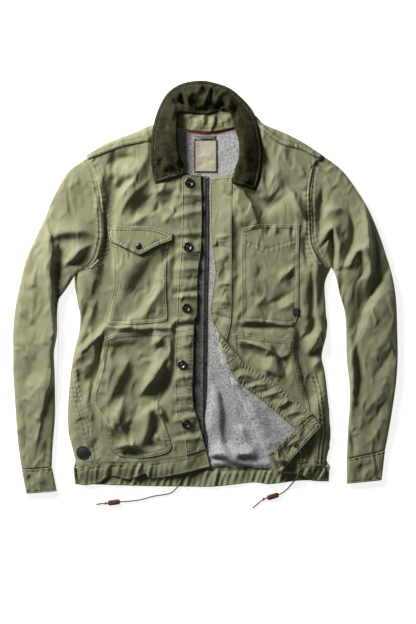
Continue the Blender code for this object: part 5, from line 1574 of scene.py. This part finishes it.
backFolds = [
    Fold([(-180, 120), (-60, 60), (60, 70)], 18, 18, 1.4, 2.0),
    Fold([(40, 180), (120, 120), (190, 40)], 16, 16, 1.5, 2.0),
    Fold([(-200, -40), (-80, -90), (30, -60)], 18, 18, 1.5, 2.0),
    Fold([(80, -120), (150, -180), (220, -170)], 16, 16, 1.4, 2.0),
    Fold([(-230, -200), (-140, -260), (-20, -240)], 16, 16, 1.5, 2.0),
    Fold([(-60, 230), (-50, 140), (-70, 40)], 14, 14, 1.2, 2.0),
    Fold([(20, -180), (60, -260), (50, -330)], 15, 15, 1.4, 2.0),
]


def liningTop(x, y):
    x, y = np.asarray(x, float), np.asarray(y, float)
    soft = 0.35 * softNoise(x, y, 24, 81) + 0.25 * softNoise(x, y, 9, 82)
    return np.maximum(3.4 + foldHeight(x, y, liningFolds) + soft, 2.5)


def makeBack():
    top = [(-240, 261), (-218, 282), (-186, 298), (-142, 314), (-102, 330), (-55, 325), (0, 319), (50, 329),
           (92, 350), (116, 331), (156, 314), (188, 298), (212, 283), (235.5, 266)]
    left, right = outerEdge(leftFront, (-256, -356)), outerEdge(rightFront, (240, -356))
    foot = [(-256, -356), (0, -356), (240, -356)]
    x, y = net(top, right, foot, left, np.linspace(0, 1, 90), np.linspace(0, 1, 110))
    crease = foldHeight(x, y, backFolds) + 0.5 * np.clip(softNoise(x, y, 26, 85), 0, 1)
    inside = (x > -245) & (x < 230) & (y > -350)
    z = 1.15 + np.clip(crease, 0, 1.3) * inside
    yokeLine = [(-212, 168), (-100, 160), (0, 158), (100, 160), (210, 172)]
    yokeSeam = nearLine(x, y, lineThrough(yokeLine, 6.0))[0]
    z = z + 0.5 * np.exp(-(yokeSeam / 2.0) ** 2)
    mesh = clothMesh("backPanel", x, y, z)
    wearAndPaintedLightLayer(mesh, np.full(x.shape, 0.25))
    garmentPiece("backPanel", mesh, "back_panel")


def makeLining():
    top = [(-204, 230), (-150, 275), (-94, 318), (-56, 322), (0, 315), (57, 321), (80, 324), (130, 290),
           (186, 255)]
    left = [(-204, 230), (-200, 98), (-240, -22), (-242, -180), (-244, -356)]
    right = [(186, 255), (198, 98), (222, 18), (226, -160), (228, -356)]
    foot = [(-244, -356), (-20, -357), (12, -360), (36, -356), (62, -361), (88, -357), (112, -361),
            (228, -356)]
    x, y = net(top, right, foot, left, np.linspace(0, 1, 140), np.linspace(0, 1, 190))
    z = liningTop(x, y)
    shown = ease((x - 2) / 14) * ease((150 - x) / 20)
    lumps = 1 + 0.7 * softNoise(x, y, 17, 86)
    z = z + shown * 3.4 * lumps * np.exp(-((y + 349) / 6.5) ** 2)
    covered = ease((-60 - x) / 14) + ease((x - 158) / 14)
    z = mix(z, 2.2, covered)  # pressed down where a front lies on it
    mesh = clothMesh("backLining", x, y, z)
    garmentPiece("backLining", mesh, "back_lining", "fleece")


makeBack()
makeLining()
makeShoulder("left", leftTop, 91)
makeShoulder("right", rightTop, 93)
print("back and lining laid")


# the turned corner of the right front

cornerFolds = [
    Fold([(62, -230), (74, -254), (84, -280), (94, -302)], 4, 6, -2.5, 1.5),
    Fold([(76, -214), (92, -242), (112, -270), (124, -302)], 12, 10, 3.0, 2.0),
    Fold([(60, -166), (80, -202), (104, -230)], 10, 9, -1.6),
    Fold([(112, -242), (136, -262), (156, -282)], 8, 8, -1.6),
    Fold([(112, -302), (132, -310), (152, -302)], 8, 6, 2.2),
    Fold([(98, -326), (116, -338), (132, -346)], 6, 4, 4.0, 1.6),
    Fold([(88, -314), (108, -322), (124, -326)], 4, 5, -2.6),
    # the facing, pulled into slanting wrinkles
    Fold([(30, -106), (42, -122), (56, -130)], 3, 4, -1.8),
    Fold([(26, -130), (40, -126), (60, -138)], 4, 3, 1.8),
    Fold([(44, -170), (64, -160), (88, -164)], 4, 4, -2.2),
    Fold([(52, -178), (74, -170), (100, -176)], 4, 3, 2.2, 1.5),
    Fold([(64, -190), (88, -186), (112, -176)], 4, 4, -2.2),
    Fold([(80, -198), (100, -192), (124, -190)], 4, 3, 2.0, 1.5),
    Fold([(92, -210), (120, -204), (140, -194)], 4, 4, -2.2),
    Fold([(104, -218), (124, -212), (152, -202)], 4, 3, 2.2, 1.5),
    Fold([(120, -230), (140, -220), (160, -222)], 4, 4, -2.0),
    Fold([(140, -242), (164, -228), (180, -226)], 4, 3, 2.2, 1.5),
    Fold([(148, -250), (168, -236), (188, -232)], 4, 4, -2.2),
    Fold([(160, -260), (180, -248), (194, -246)], 4, 3, 2.0, 1.5),
    Fold([(168, -270), (186, -256), (202, -248)], 3, 4, -1.8),
    Fold([(164, -230), (172, -254), (180, -274)], 4, 4, -1.6),
    # the hem band: flat at the corner, bunched at its end
    Fold([(212, -262), (196, -282), (180, -302)], 5, 4, -1.4),
    Fold([(188, -294), (176, -302), (164, -314)], 4, 3, 2.0),
    Fold([(164, -302), (160, -322), (168, -338)], 4, 4, -2.6),
    Fold([(150, -318), (146, -334), (156, -350)], 4, 3, 3.2, 1.5),
    Fold([(140, -326), (136, -342), (146, -356)], 3, 4, -3.0),
    Fold([(132, -334), (128, -348), (138, -362)], 4, 3, 3.2, 1.5),
    Fold([(136, -328), (146, -338), (162, -340)], 3, 3, 3.0),
    Fold([(130, -338), (140, -348), (154, -346)], 3, 3, -4.0),
    Fold([(132, -354), (144, -358), (156, -350)], 3, 3, -4.0),
    Fold([(160, -326), (154, -336), (168, -344)], 3, 3, 2.6),
    Fold([(172, -302), (170, -316), (162, -332)], 3, 3, -2.4),
    Fold([(182, -272), (186, -286), (182, -302)], 4, 4, 2.0),
]


def cornerTop(x, y):
    x, y = np.asarray(x, float), np.asarray(y, float)
    out = nearLine(x, y, lineThrough(turnedCorner["fold"], 3.0))[0]
    gap = mix(2 * turnedCorner["roll"], turnedCorner["lift"] + 2.0, ease(out / turnedCorner["ease"]))
    tip = np.hypot(x - turnedCorner["hemEdge"][0][0], y - turnedCorner["hemEdge"][0][1])
    raised = -1.6 + 1.6 * np.exp(-(tip / 40) ** 2)
    soft = 0.6 * softNoise(x, y, 22, 101) + 0.4 * softNoise(x, y, 9, 102)
    folds = foldHeight(x, y, cornerFolds, turnedCorner["creases"])
    return bodyRise(x, y) + lie["cloth"] + gap + raised * ease(out / 30) + folds + soft


def facingTop(x, y):
    return cornerTop(x, y) + wrinkles(np.asarray(x, float), np.asarray(y, float), 119, 0.9)


def ruled(inner, outer, columns, rows):
    inside, outside = lineThrough(inner, 1.5), lineThrough(outer, 1.5)
    down = np.linspace(0, 1, rows)
    a, b = onLine(inside, down)[:, None], onLine(outside, down)[:, None]
    u = columns[None, :, None]
    spots = mix(a, b, u)
    return spots[..., 0], spots[..., 1]


def rolledSheet(outer, radius, rows, columns, start, seed, reach=1.0):
    # cloth that comes from under the front, turns over along the fold and lies back on it
    fold = lineThrough(turnedCorner["fold"], 1.5)
    down = np.linspace(0, 1, rows)
    spine = onLine(fold, down * reach)
    tangent = np.gradient(spine, axis=0)
    tangent /= np.linalg.norm(tangent, axis=1)[:, None]
    outWay = np.column_stack([-tangent[:, 1], tangent[:, 0]])
    edge = onLine(lineThrough(outer, 1.5, straight=True), down)
    middle = bodyRise(spine[:, 0], spine[:, 1]) + lie["cloth"] + turnedCorner["roll"]
    run = down * 330
    lumps = 1 + 0.22 * softNoise(run, 0 * run, 26, seed) + 0.1 * softNoise(run, 0 * run, 9, seed + 1)
    size = radius * lumps * mix(0.55, 1.0, ease(down / 0.12))
    turns = np.linspace(start, math.pi, 18)
    xs, ys, zs = [], [], []
    for turn in turns:
        xs.append(spine[:, 0] - outWay[:, 0] * size * math.sin(turn))
        ys.append(spine[:, 1] - outWay[:, 1] * size * math.sin(turn))
        zs.append(middle - size * math.cos(turn))
    lastZ = zs[-1]
    for u in np.linspace(0, 1, columns)[1:]:
        x, y = mix(spine[:, 0], edge[:, 0], u), mix(spine[:, 1], edge[:, 1], u)
        out = np.hypot(x - spine[:, 0], y - spine[:, 1])
        top = cornerTop(x, y) + (radius - turnedCorner["roll"])
        xs.append(x)
        ys.append(y)
        zs.append(mix(lastZ, top, ease(out / 12)))
    return (np.stack(v, axis=1) for v in (xs, ys, zs))


def makeCorner():
    outer = turnedCorner["frontEdge"] + turnedCorner["hemEdge"][1:]
    x, y, z = rolledSheet(outer, turnedCorner["roll"], 110, 36, 0.0, 111)
    mesh = clothMesh("cornerShell", x, y, z)
    # colour mask: painted highlight on the crests
    wearAndPaintedLightLayer(mesh, 0.5 * crestOf(z))
    garmentPiece("cornerShell", mesh, "corner_shell", paint="inside")

    outer = [(25, -88)] + turnedCorner["facingSeam"] + turnedCorner["bandSeam"][1:]
    x, y, z = rolledSheet(outer, turnedCorner["roll"] + 2.5, 140, 60, -0.5, 111, 0.86)
    mesh = clothMesh("cornerLining", x, y, z)
    garmentPiece("cornerLining", mesh, "corner_lining", "fleece", 1.2)

    inner, free = [(25, -90)] + turnedCorner["facingSeam"], turnedCorner["frontEdge"][:-1]
    x, y = ruled(inner, free + [(209, -246)], gradedSteps(60, 1.8, 0.9, 8), 200)
    outline = np.concatenate([lineThrough(inner, 3), lineThrough(free, 3)[::-1]])
    relief, wearAndPaintedLight = sewnEdge(x, y, outline, 121, False, 1.6)
    top = facingTop(x, y)
    mesh = clothMesh("cornerFacing", x, y, top + turnedCorner["facingLift"] + relief)
    # colour mask: painted highlight on crests, with the sewn edge's wear, painted highlight and painted shade
    wearAndPaintedLightLayer(mesh, np.clip(0.6 * crestOf(top) + wearAndPaintedLight, -1, 1))
    garmentPiece("cornerFacing", mesh, "corner_facing", thickness=1.2)

    seam, edge = turnedCorner["bandSeam"], turnedCorner["hemEdge"]
    across, down = netSteps(seam, edge, 1.4), gradedSteps(40, 1.4, 0.8, 8)
    edges = [seam[::-1], [seam[0], edge[0]], edge[::-1], [seam[-1], edge[-1]]]
    x, y = net(*edges, across, down)
    u = across[None, :]
    bunch = mix(3.2, 0.5, ease((u - 0.1) / 0.6)) * softNoise(u * 120, down[:, None] * 6, 7, 131)
    relief, wearAndPaintedLight = sewnEdge(x, y, outlineOf(*edges), 132, True, 1.3)
    top = cornerTop(x, y) + bunch
    z = np.minimum(top + turnedCorner["bandLift"] + relief, turnedCorner["highest"])
    mesh = clothMesh("cornerHemBand", x, y, z)
    # colour mask: painted highlight on crests, with the sewn edge's wear, painted highlight and painted shade
    wearAndPaintedLightLayer(mesh, np.clip(0.8 * crestOf(top) + wearAndPaintedLight, -1, 1))
    garmentPiece("cornerHemBand", mesh, "corner_hem_band", thickness=1.8)
    stitchAlong(insetEdge(turnedCorner["frontEdge"], -3.0, 4), lambda x, y: cornerTop(x, y) + 2.6)
    stitchAlong(insetEdge(seam, 3.0, 3), lambda x, y: cornerTop(x, y) + 2.9)


makeCorner()
print("corner turned")


# the collar leaf and its stand

collarFolds = [
    Fold([(-74, 388), (-62, 382), (-48, 376)], 2.5, 3.5, 4.0, 1.2),
    Fold([(-72, 382), (-60, 374), (-50, 366)], 3, 3, -4.0, 1.2),
    Fold([(-48, 402), (-40, 386), (-32, 372), (-28, 362)], 3.0, 4.5, 6.0, 1.2),
    Fold([(-40, 402), (-26, 386), (-10, 370)], 3.0, 4.0, 5.5, 1.2),
    Fold([(-50, 396), (-44, 380), (-40, 362)], 4.5, 4.5, -6.0, 1.4),
    Fold([(-32, 394), (-20, 378), (-12, 362)], 3.5, 3.5, -3.5),
    Fold([(10, 402), (2, 384), (-6, 364)], 3.0, 4.5, 6.0, 1.2),
    Fold([(16, 402), (10, 388), (6, 372)], 3.5, 3.5, -5.5),
    Fold([(42, 396), (26, 384), (18, 376), (32, 356)], 3.0, 3.5, 6.0, 1.2),
    Fold([(32, 392), (22, 384), (14, 378)], 3.5, 3.0, -5.0),
    Fold([(20, 372), (24, 364), (28, 354)], 3.0, 3.5, -5.0),
    Fold([(-20, 366), (-6, 358), (12, 360)], 3.5, 3.5, -4.0),
    Fold([(-18, 410), (-12, 398), (-14, 384)], 5, 5, 3.0, 1.4),
    Fold([(-6, 410), (-2, 400), (-4, 388)], 5, 5, -2.5, 1.4),
    Fold([(50, 388), (42, 372), (48, 350)], 6, 5, 3.0, 1.4),
    Fold([(64, 372), (60, 350), (62, 330)], 5, 5, -2.2, 1.4),
    Fold([(-64, 370), (-64, 354), (-66, 334)], 6, 5, 2.4, 1.4),
    Fold([(-80, 354), (-78, 330), (-82, 302)], 5, 6, -2.0, 1.4),
    Fold([(-90, 298), (-82, 262), (-72, 234)], 9, 8, 2.0, 1.4),
    Fold([(-52, 262), (-46, 246), (-48, 234)], 3, 4, -4.0, 1.2),
    Fold([(-86, 258), (-76, 246), (-58, 242)], 3.5, 3.5, 3.2, 1.2),
    Fold([(-90, 242), (-76, 234), (-56, 232)], 3.5, 3.5, -3.2, 1.2),
    Fold([(-84, 266), (-92, 250), (-90, 234)], 4, 4, -2.4),
    Fold([(82, 318), (76, 278), (80, 234)], 8, 8, 2.2, 1.4),
    Fold([(60, 338), (64, 298), (68, 258)], 6, 6, -1.8, 1.4),
    Fold([(64, 226), (78, 216), (96, 212)], 4, 4, 2.4),
]
standFolds = [
    Fold([(-44, 348), (-38, 334), (-40, 318)], 5, 6, -2.6),
    Fold([(-14, 346), (-4, 338), (-6, 324)], 3.5, 4, 2.8, 1.2),
    Fold([(-6, 348), (4, 340), (2, 324)], 3.5, 4, -2.6, 1.2),
    Fold([(-22, 344), (-18, 330), (-24, 318)], 4, 4, 2.0),
    Fold([(22, 350), (24, 336), (20, 320)], 3.5, 4, -3.4),
    Fold([(16, 350), (16, 336), (12, 320)], 4, 4, 2.2),
    Fold([(32, 346), (44, 340), (52, 328)], 4, 4, 2.4, 1.2),
    Fold([(-36, 342), (-24, 344), (-12, 340)], 3, 3, -1.6),
    Fold([(-2, 330), (12, 332), (26, 328)], 3, 3, 1.8, 1.2),
    Fold([(36, 336), (40, 328), (38, 320)], 3, 3, -2.0),
]


def makeCollarLeaf():
    along = np.linspace(0, 1, 220)
    row = readRows(collar["rows"], along)
    ox, oy, rx, ry, oz, rz = (row[:, k][:, None] for k in range(6))
    u = gradedSteps(56, 1.9, 0.8, 7)[None, :]
    x, y = mix(rx, ox, u), mix(ry, oy, u)
    length = lengthOf(np.array(collar["rows"])[:, :2])
    ends = np.minimum(along, 1 - along)[:, None] * length
    z = mix(rz, oz, u ** 1.2) + collar["crown"] * np.sin(math.pi * u)
    z = z + foldHeight(x, y, collarFolds, collar["creases"])
    z = z + 1.0 * softNoise(x, y, 22, 141) + 0.5 * softNoise(x, y, 8, 142)
    atBack = np.exp(-((x - 2) / 52) ** 4) * ease((y - 330) / 40)
    bunched = 1.6 * (np.abs(softNoise(x, y, 13, 143)) - 0.3)
    z = z + atBack * (collar["backRise"] * np.sin(math.pi * u) + bunched)
    width = np.hypot(ox - rx, oy - ry)
    fromEdge = np.minimum((1 - u) * width, ends)
    z = z - 2.2 * np.exp(-(fromEdge / 1.6) ** 2) - 1.3 * np.exp(-((fromEdge - 8.2) / 1.4) ** 2)
    z = z + 0.9 * np.exp(-((fromEdge - 4.6) / 2.0) ** 2)
    puckers = ticks(along[:, None] * length + 0 * u, fromEdge, 7.5, 144)
    z = z + 0.7 * puckers * np.exp(-((fromEdge - 8.2) / 3.5) ** 2)
    fromRoll = u * width
    z = z - 3.0 * np.exp(-(fromRoll / 2.2) ** 2)
    z = np.maximum(z, collar["pile"] + 0.2)
    mesh = clothMesh("collarLeaf", x[:, ::-1], y[:, ::-1], z[:, ::-1])
    if mesh.polygons[100].normal.z < 0:
        mesh.flip_normals()
    wearAndPaintedLightLayer(mesh, crestOf(z[:, ::-1]))
    garmentPiece("collarLeaf", mesh, "collar", "pile", collar["pile"])
    rows = collar["rows"]
    whole = [rows[0][2:4]] + [row[:2] for row in rows] + [rows[-1][2:4]]
    stitchAlong(insetEdge(whole, -8.2, 9), heightsOf(x, y, z), 0.3, straight=True)


def makeCollarStand():
    v = np.linspace(0, 1, 26)[:, None]
    across = np.linspace(0, 1, 90)
    foot, top = (onLine(lineThrough(collar[key], 1.5), across)[None] for key in ("standSeam", "standTop"))
    spots = mix(top, foot, v[..., None])
    x, y = spots[..., 0], spots[..., 1]
    height = mix(collar["standFoot"] + 1.2, collar["standRise"], (1 - v) ** 0.75)
    z = height + foldHeight(x, y, standFolds, 1.2) + wrinkles(x, y, 145, 0.9)
    z = z - 0.9 * np.exp(-((v - 0.86) / 0.035) ** 2) - 0.7 * np.exp(-((v - 0.96) / 0.03) ** 2)
    z = z + 0.6 * ticks(x + 0.4 * y, y, 7.0, 146) * np.exp(-((v - 0.86) / 0.12) ** 2)
    mesh = clothMesh("collarStand", x, y, z)
    # colour mask: painted highlight on the crests
    wearAndPaintedLightLayer(mesh, 0.6 * crestOf(z))
    garmentPiece("collarStand", mesh, "collar_stand")


makeCollarLeaf()
makeCollarStand()


# neck tape, hanger loop, label and side tab

def flatPiece(name, edges, height, node, paint, thickness, across=24, down=24, extra=None):
    x, y = net(*edges, np.linspace(0, 1, across), np.linspace(0, 1, down))
    z = height(x, y)
    if extra is not None:
        z = z + extra(x, y)
    garmentPiece(name, clothMesh(name, x, y, z), node, paint, thickness)


neck = dict(
    tape=[(-36, 316), (1, 311.5), (54, 321)],
    tapeWidth=3.0,
    loop=[
        [(-22, 307), (0, 307.5), (20, 307.5)],
        [(20, 307.5), (18, 301)],
        [(-10, 301), (4, 300.5), (18, 301)],
        [(-22, 307), (-10, 301)],
    ],
    label=(-24, 234, 22, 300),
    labelBorder=2.6,
    labelFolds=[
        Fold([(-24, 262), (0, 268), (22, 258)], 6, 5, 1.2),
        Fold([(-14, 300), (-8, 280), (-12, 262)], 5, 5, -0.8),
        Fold([(8, 258), (14, 246), (10, 236)], 5, 5, 0.9),
        Fold([(-22, 240), (-8, 250), (4, 246)], 4, 4, -0.7),
    ],
    tab=(173, -53, 185, -38),
)


def squareEdges(x0, y0, x1, y1):
    return [[(x0, y1), (x1, y1)], [(x1, y1), (x1, y0)], [(x0, y0), (x1, y0)], [(x0, y1), (x0, y0)]]


def labelTop(x, y):
    return liningTop(x, y) + 1.3 + foldHeight(x, y, neck["labelFolds"], 1.3) + 0.2 * softNoise(x, y, 8, 153)


def makeNeck():
    tape, half = neck["tape"], neck["tapeWidth"] / 2
    upper, lower = [(p[0], p[1] + half) for p in tape], [(p[0], p[1] - half) for p in tape]
    flatPiece("neckTape", [upper, [upper[-1], lower[-1]], lower, [upper[0], lower[0]]], liningTop,
              "neck_tape",
              "redTape", 0.7, 70, 5, lambda x, y: 1.1 + 0.2 * softNoise(x, y, 7, 151))
    flatPiece("hangerLoop", neck["loop"], liningTop, "hanger_loop", "loop", 0.8, 40, 8,
              lambda x, y: 1.5 + 1.6 * np.sin(np.clip((x + 22) / 42, 0, 1) * math.pi))
    flatPiece("neckLabel", squareEdges(*neck["label"]), labelTop, "neck_label", "label", 0.8,
              50, 70)
    x0, y0, x1, y1 = neck["label"]
    corners = [(x0, y1), (x1, y1), (x1, y0), (x0, y0), (x0, y1)]
    for number, ends in enumerate(zip(corners, corners[1:]), 1):
        inner = insetEdge(ends, -neck["labelBorder"])
        outer = onLine(lineThrough(ends, 1.5), np.linspace(0, 1, len(inner)))
        x, y = np.stack([outer[:, 0], inner[:, 0]], 1), np.stack([outer[:, 1], inner[:, 1]], 1)
        mesh = clothMesh(f"labelBorder{number}", x, y, labelTop(x, y) + 0.22)
        if mesh.polygons[0].normal.z < 0:
            mesh.flip_normals()
        garmentPiece(f"labelBorder{number}", mesh, None, "labelEdge", 0.3)
    flatPiece("pocketTab", squareEdges(*neck["tab"]), lambda x, y: onRightLayer(x, y) + lie["layer"] + 0.4,
              "pocket_tab", "tab", 0.9, 8, 9)


makeNeck()
print("collar and neck made")


# buttons, snap, badge, eyelet, zip

hardware = dict(
    buttons=[(-33, 212), (-36, 84), (-39, -38), (-48, -151), (-39, -270)],
    buttonRadius=9.6, buttonHeight=3.0, buttonSink=0.5,
    snap=(-134, 85), snapRadius=6.5, flapLift=2.2,
    badge=(-246, -327), badgeRadius=13.5,
    eyelet=(179, -312), eyeletRadius=4.5, eyeletHole=2.2,
)


def turnedMesh(name, profile, spot, z, around=40, tilt=(0.0, 0.0)):
    profile = np.asarray(profile, float)
    angle = np.linspace(0, 2 * math.pi, around, endpoint=False)[None, :]
    r, h = profile[:, 0][:, None], profile[:, 1][:, None]
    x, y = r * np.cos(angle), r * np.sin(angle)
    height = h + x * tilt[0] + y * tilt[1]
    mesh = clothMesh(name, spot[0] + x, spot[1] + y, z + height, closed=True)
    bm = bmesh.new()
    bm.from_mesh(mesh)
    bmesh.ops.remove_doubles(bm, verts=bm.verts, dist=0.02 * mm)
    bmesh.ops.recalc_face_normals(bm, faces=bm.faces)
    bm.to_mesh(mesh)
    bm.free()
    mesh.set_sharp_from_angle(angle=math.radians(35))
    return mesh


def levelUnder(surface, spot, radius):
    # highest point of the cloth under a round piece, and the cloth's slope there
    a = np.linspace(0, 2 * math.pi, 16, endpoint=False)
    x, y = spot[0] + radius * np.cos(a), spot[1] + radius * np.sin(a)
    z = surface(x, y)
    tilt = (2 * np.mean(z * np.cos(a)) / radius, 2 * np.mean(z * np.sin(a)) / radius)
    rest = z - (x - spot[0]) * tilt[0] - (y - spot[1]) * tilt[1]
    return float(rest.max()), tilt


def roundPiece(name, profile, spot, level, around, node, paint):
    z, tilt = level
    mesh = turnedMesh(name, profile, spot, z, around, tilt)
    garmentPiece(name, mesh, node, paint, 0)


def makeButtons():
    # a rolled rim with a small metal shank in its middle: profiles of radius and height
    r, h = hardware["buttonRadius"], hardware["buttonHeight"]
    rim = [(0.01, h * 0.2), (3.4, h * 0.2), (3.9, h * 0.4), (4.6, h * 0.5), (5.4, h * 0.62), (6.2, h * 0.9),
           (7.0, h), (7.8, h * 0.98), (8.7, h * 0.84), (9.3, h * 0.56), (r, h * 0.4), (r, h * 0.25),
           (r - 0.4, h * 0.1), (r - 1.2, 0), (0.01, 0)]
    shank = [(0.01, h * 0.3), (1.1, h * 0.32), (1.5, h * 0.7), (2.2, h * 0.86), (3.0, h * 0.7),
             (3.4, h * 0.3),
             (3.4, h * 0.1), (0.01, h * 0.1)]
    for number, spot in enumerate(hardware["buttons"], 1):
        z, tilt = levelUnder(onLeftLayer, spot, r * 0.8)
        level = z - hardware["buttonSink"], tilt
        roundPiece(f"button{number}", rim, spot, level, 48, f"button_{number}", "button")
        roundPiece(f"buttonShank{number}", shank, spot, level, 28, None, "darkMetal")


def makeSnapBadgeEyelet():
    r, spot = hardware["snapRadius"], hardware["snap"]
    dome = [(0.01, 2.9), (1.4, 2.85), (2.8, 2.6), (4.0, 2.15), (5.0, 1.5), (5.8, 0.9), (6.3, 0.5), (r, 0.2),
            (r - 0.3, 0), (0.01, 0)]
    level = levelUnder(lambda x, y: leftTop(x, y) + 2 * lie["layer"] + hardware["flapLift"], spot, r)
    roundPiece("flapSnap", dome, spot, level, 40, "flap_snap", "darkMetal")

    r, spot = hardware["badgeRadius"], hardware["badge"]
    disc = [(0.01, 1.0), (r - 3.4, 1.0), (r - 3.0, 0.8), (r - 2.6, 0.8), (r - 2.2, 1.2), (r - 1.0, 1.3),
            (r - 0.2, 1.0), (r, 0.5), (r - 0.2, 0), (0.01, 0)]
    roundPiece("hemBadge", disc, spot, levelUnder(leftTop, spot, r), 64, "hem_badge", "badge")

    r, hole, spot = hardware["eyeletRadius"], hardware["eyeletHole"], hardware["eyelet"]
    ring = [(hole, 0.1), (hole, 0.7), (hole + 0.5, 1.2), (r - 0.9, 1.2), (r - 0.2, 0.7), (r, 0.1),
            (hole, 0.1)]
    level = levelUnder(lambda x, y: cornerTop(x, y) + turnedCorner["bandLift"], spot, r)
    roundPiece("hemEyelet", ring, spot, level, 36, "hem_eyelet", "darkMetal")


makeButtons()
makeSnapBadgeEyelet()

zipper = dict(
    edges=[[(-14, 226), (5, 226)], [(5, 226), (5, 78), (2, -62), (0, -222), (2, -316)],
           [(-12, -318), (2, -316)],
           [(-14, 226), (-18, 78), (-24, 34), (-28, -62), (-32, -222), (-12, -318)]],
    chain=[(-0.5, 222), (-1.5, 78), (-3.5, -62), (-5, -222), (-4, -312)],
    height=5.6, pitch=2.9, tooth=(3.6, 1.5, 1.5),
)


def zipTop(x, y):
    return zipper["height"] + 0.3 * softNoise(x, y, 26, 161)


def makeZip():
    across, down = np.linspace(0, 1, 18), np.linspace(0, 1, 170)
    x, y = net(*zipper["edges"], across, down)
    away = nearLine(x, y, lineThrough(zipper["chain"], 8.0))[0]
    z = zipTop(x, y) + 0.5 * np.exp(-(away / 2.0) ** 2) - 0.6 * np.exp(-((away - 6.5) / 1.2) ** 2)
    z = z + 1.4 * np.exp(-((away - 15) / 4) ** 2)
    garmentPiece("zipTape", clothMesh("zipTape", x, y, z), "zip_tape", "zipTape", 0.9)

    long, wide, high = zipper["tooth"]
    chain = lineThrough(zipper["chain"], 1.0)
    count = int(lengthOf(chain) / zipper["pitch"])
    bm = bmesh.new()
    for spot in onLine(chain, (np.arange(count) + 0.5) / count):
        middle = Vector((*spot, float(zipTop(*spot)) + 1.0))
        for vert in bmesh.ops.create_cube(bm, size=1.0)["verts"]:
            narrow = 0.7 if vert.co.x > 0 else 1.0
            vert.co = (middle + Vector((vert.co.x * long, vert.co.y * wide * narrow, vert.co.z * high))) * mm
    bmesh.ops.bevel(bm, geom=bm.edges, offset=0.25 * mm, segments=1, affect="EDGES")
    garmentPiece("zipTeeth", meshFrom(bm, "zipTeeth"), None, "zipTeeth", 0)


makeZip()
print("trim made")


# buttonholes: a worked slot, thread all round a dark gap

buttonholes = dict(
    length=19.0, width=3.4, stitches=46, thread=0.42, gap=0.75,
    placket=[((33.5, 96), 4), ((31, -36), 4)],      # place and heading
    facing=[((46, -143), 38), ((148, -228), 46)],
    placketLift=0.9,
    facingLift=3.7,
)


def makeButtonhole(thread, gaps, spot, heading, surface):
    def onCloth(x, y, lift):
        x, y = turned(x, y, heading)
        x, y = spot[0] + x, spot[1] + y
        return Vector((x, y, float(surface(np.array([x]), np.array([y]))[0]) + lift))

    half, wide = buttonholes["length"] / 2, buttonholes["width"] / 2
    for k in range(buttonholes["stitches"]):
        a = 2 * math.pi * k / buttonholes["stitches"]
        x = (half - 1.2) * math.copysign(min(1, abs(math.cos(a)) ** 0.8 * 1.05), math.cos(a))
        y = (wide - 0.8) * math.sin(a)
        outX, outY = math.cos(a) * 0.35, math.sin(a)
        start, end = (onCloth(x + outX * reach, y + outY * reach, 0.25) for reach in (0.1, 1.5))
        addStitch(thread, start, end, buttonholes["thread"])
    angles = [2 * math.pi * k / 20 for k in range(20)]
    ring = [onCloth((half - 1.6) * math.cos(a), buttonholes["gap"] * math.sin(a), 0.3) for a in angles]
    gaps.faces.new([gaps.verts.new(point * mm) for point in ring])


def makeButtonholes():
    def onPlacket(x, y):
        return onRightLayer(x, y) + buttonholes["placketLift"]

    def onFacing(x, y):
        return facingTop(x, y) + buttonholes["facingLift"]

    thread, gaps = bmesh.new(), bmesh.new()
    for spot, heading in buttonholes["placket"]:
        makeButtonhole(thread, gaps, spot, heading, onPlacket)
    for spot, heading in buttonholes["facing"]:
        makeButtonhole(thread, gaps, spot, heading, onFacing)
    garmentPiece("buttonholeThread", meshFrom(thread, "buttonholeThread"), None, paint="thread", thickness=0)
    garmentPiece("buttonholeGap", meshFrom(gaps, "buttonholeGap"), None, paint="fleece", thickness=0.3)


def addStitch(bm, start, end, width):
    # one thread as a slim eight-sided bead
    run = end - start
    side = run.cross(Vector((0, 0, 1)))
    if side.length < 1e-6:
        return
    side = side.normalized() * width
    up = Vector((0, 0, width * 0.8))
    middle = (start + end) / 2
    tips = [bm.verts.new((start - up * 0.6) * mm), bm.verts.new((end - up * 0.6) * mm)]
    belt = [bm.verts.new(p * mm) for p in (middle + side, middle + up, middle - side, middle - up)]
    for k in range(4):
        bm.faces.new((tips[0], belt[k], belt[(k + 1) % 4]))
        bm.faces.new((tips[1], belt[(k + 1) % 4], belt[k]))


stitching = dict(pitch=5.2, stitch=3.6, width=0.62, lift=0.25)


def makeStitches():
    for seams, surface in ((leftSeams, leftTop), (rightSeams, rightTop)):
        for seam in seams:
            stitchAlong(seam.path, surface, stitching["lift"])
    for side in ("left", "right"):
        for seam in sleeveSeams[side]:
            stitchAlong(seam.path, lambda x, y, side=side: sleeveTop(side, x, y), stitching["lift"])
    bm = bmesh.new()
    for line in threads:
        count = int(lengthOf(line) / stitching["pitch"])
        if count < 2:
            continue
        starts = onLine(line, np.arange(count) / count)
        ends = onLine(line, (np.arange(count) + stitching["stitch"] / stitching["pitch"]) / count)
        for a, b in zip(starts, ends):
            addStitch(bm, Vector(a), Vector(b), stitching["width"])
    bmesh.ops.recalc_face_normals(bm, faces=bm.faces)
    mesh = meshFrom(bm, "topstitching")
    mesh.shade_smooth()
    garmentPiece("topstitching", mesh, None, paint="thread", thickness=0)


makeButtonholes()
makeStitches()
print("stitches sewn")
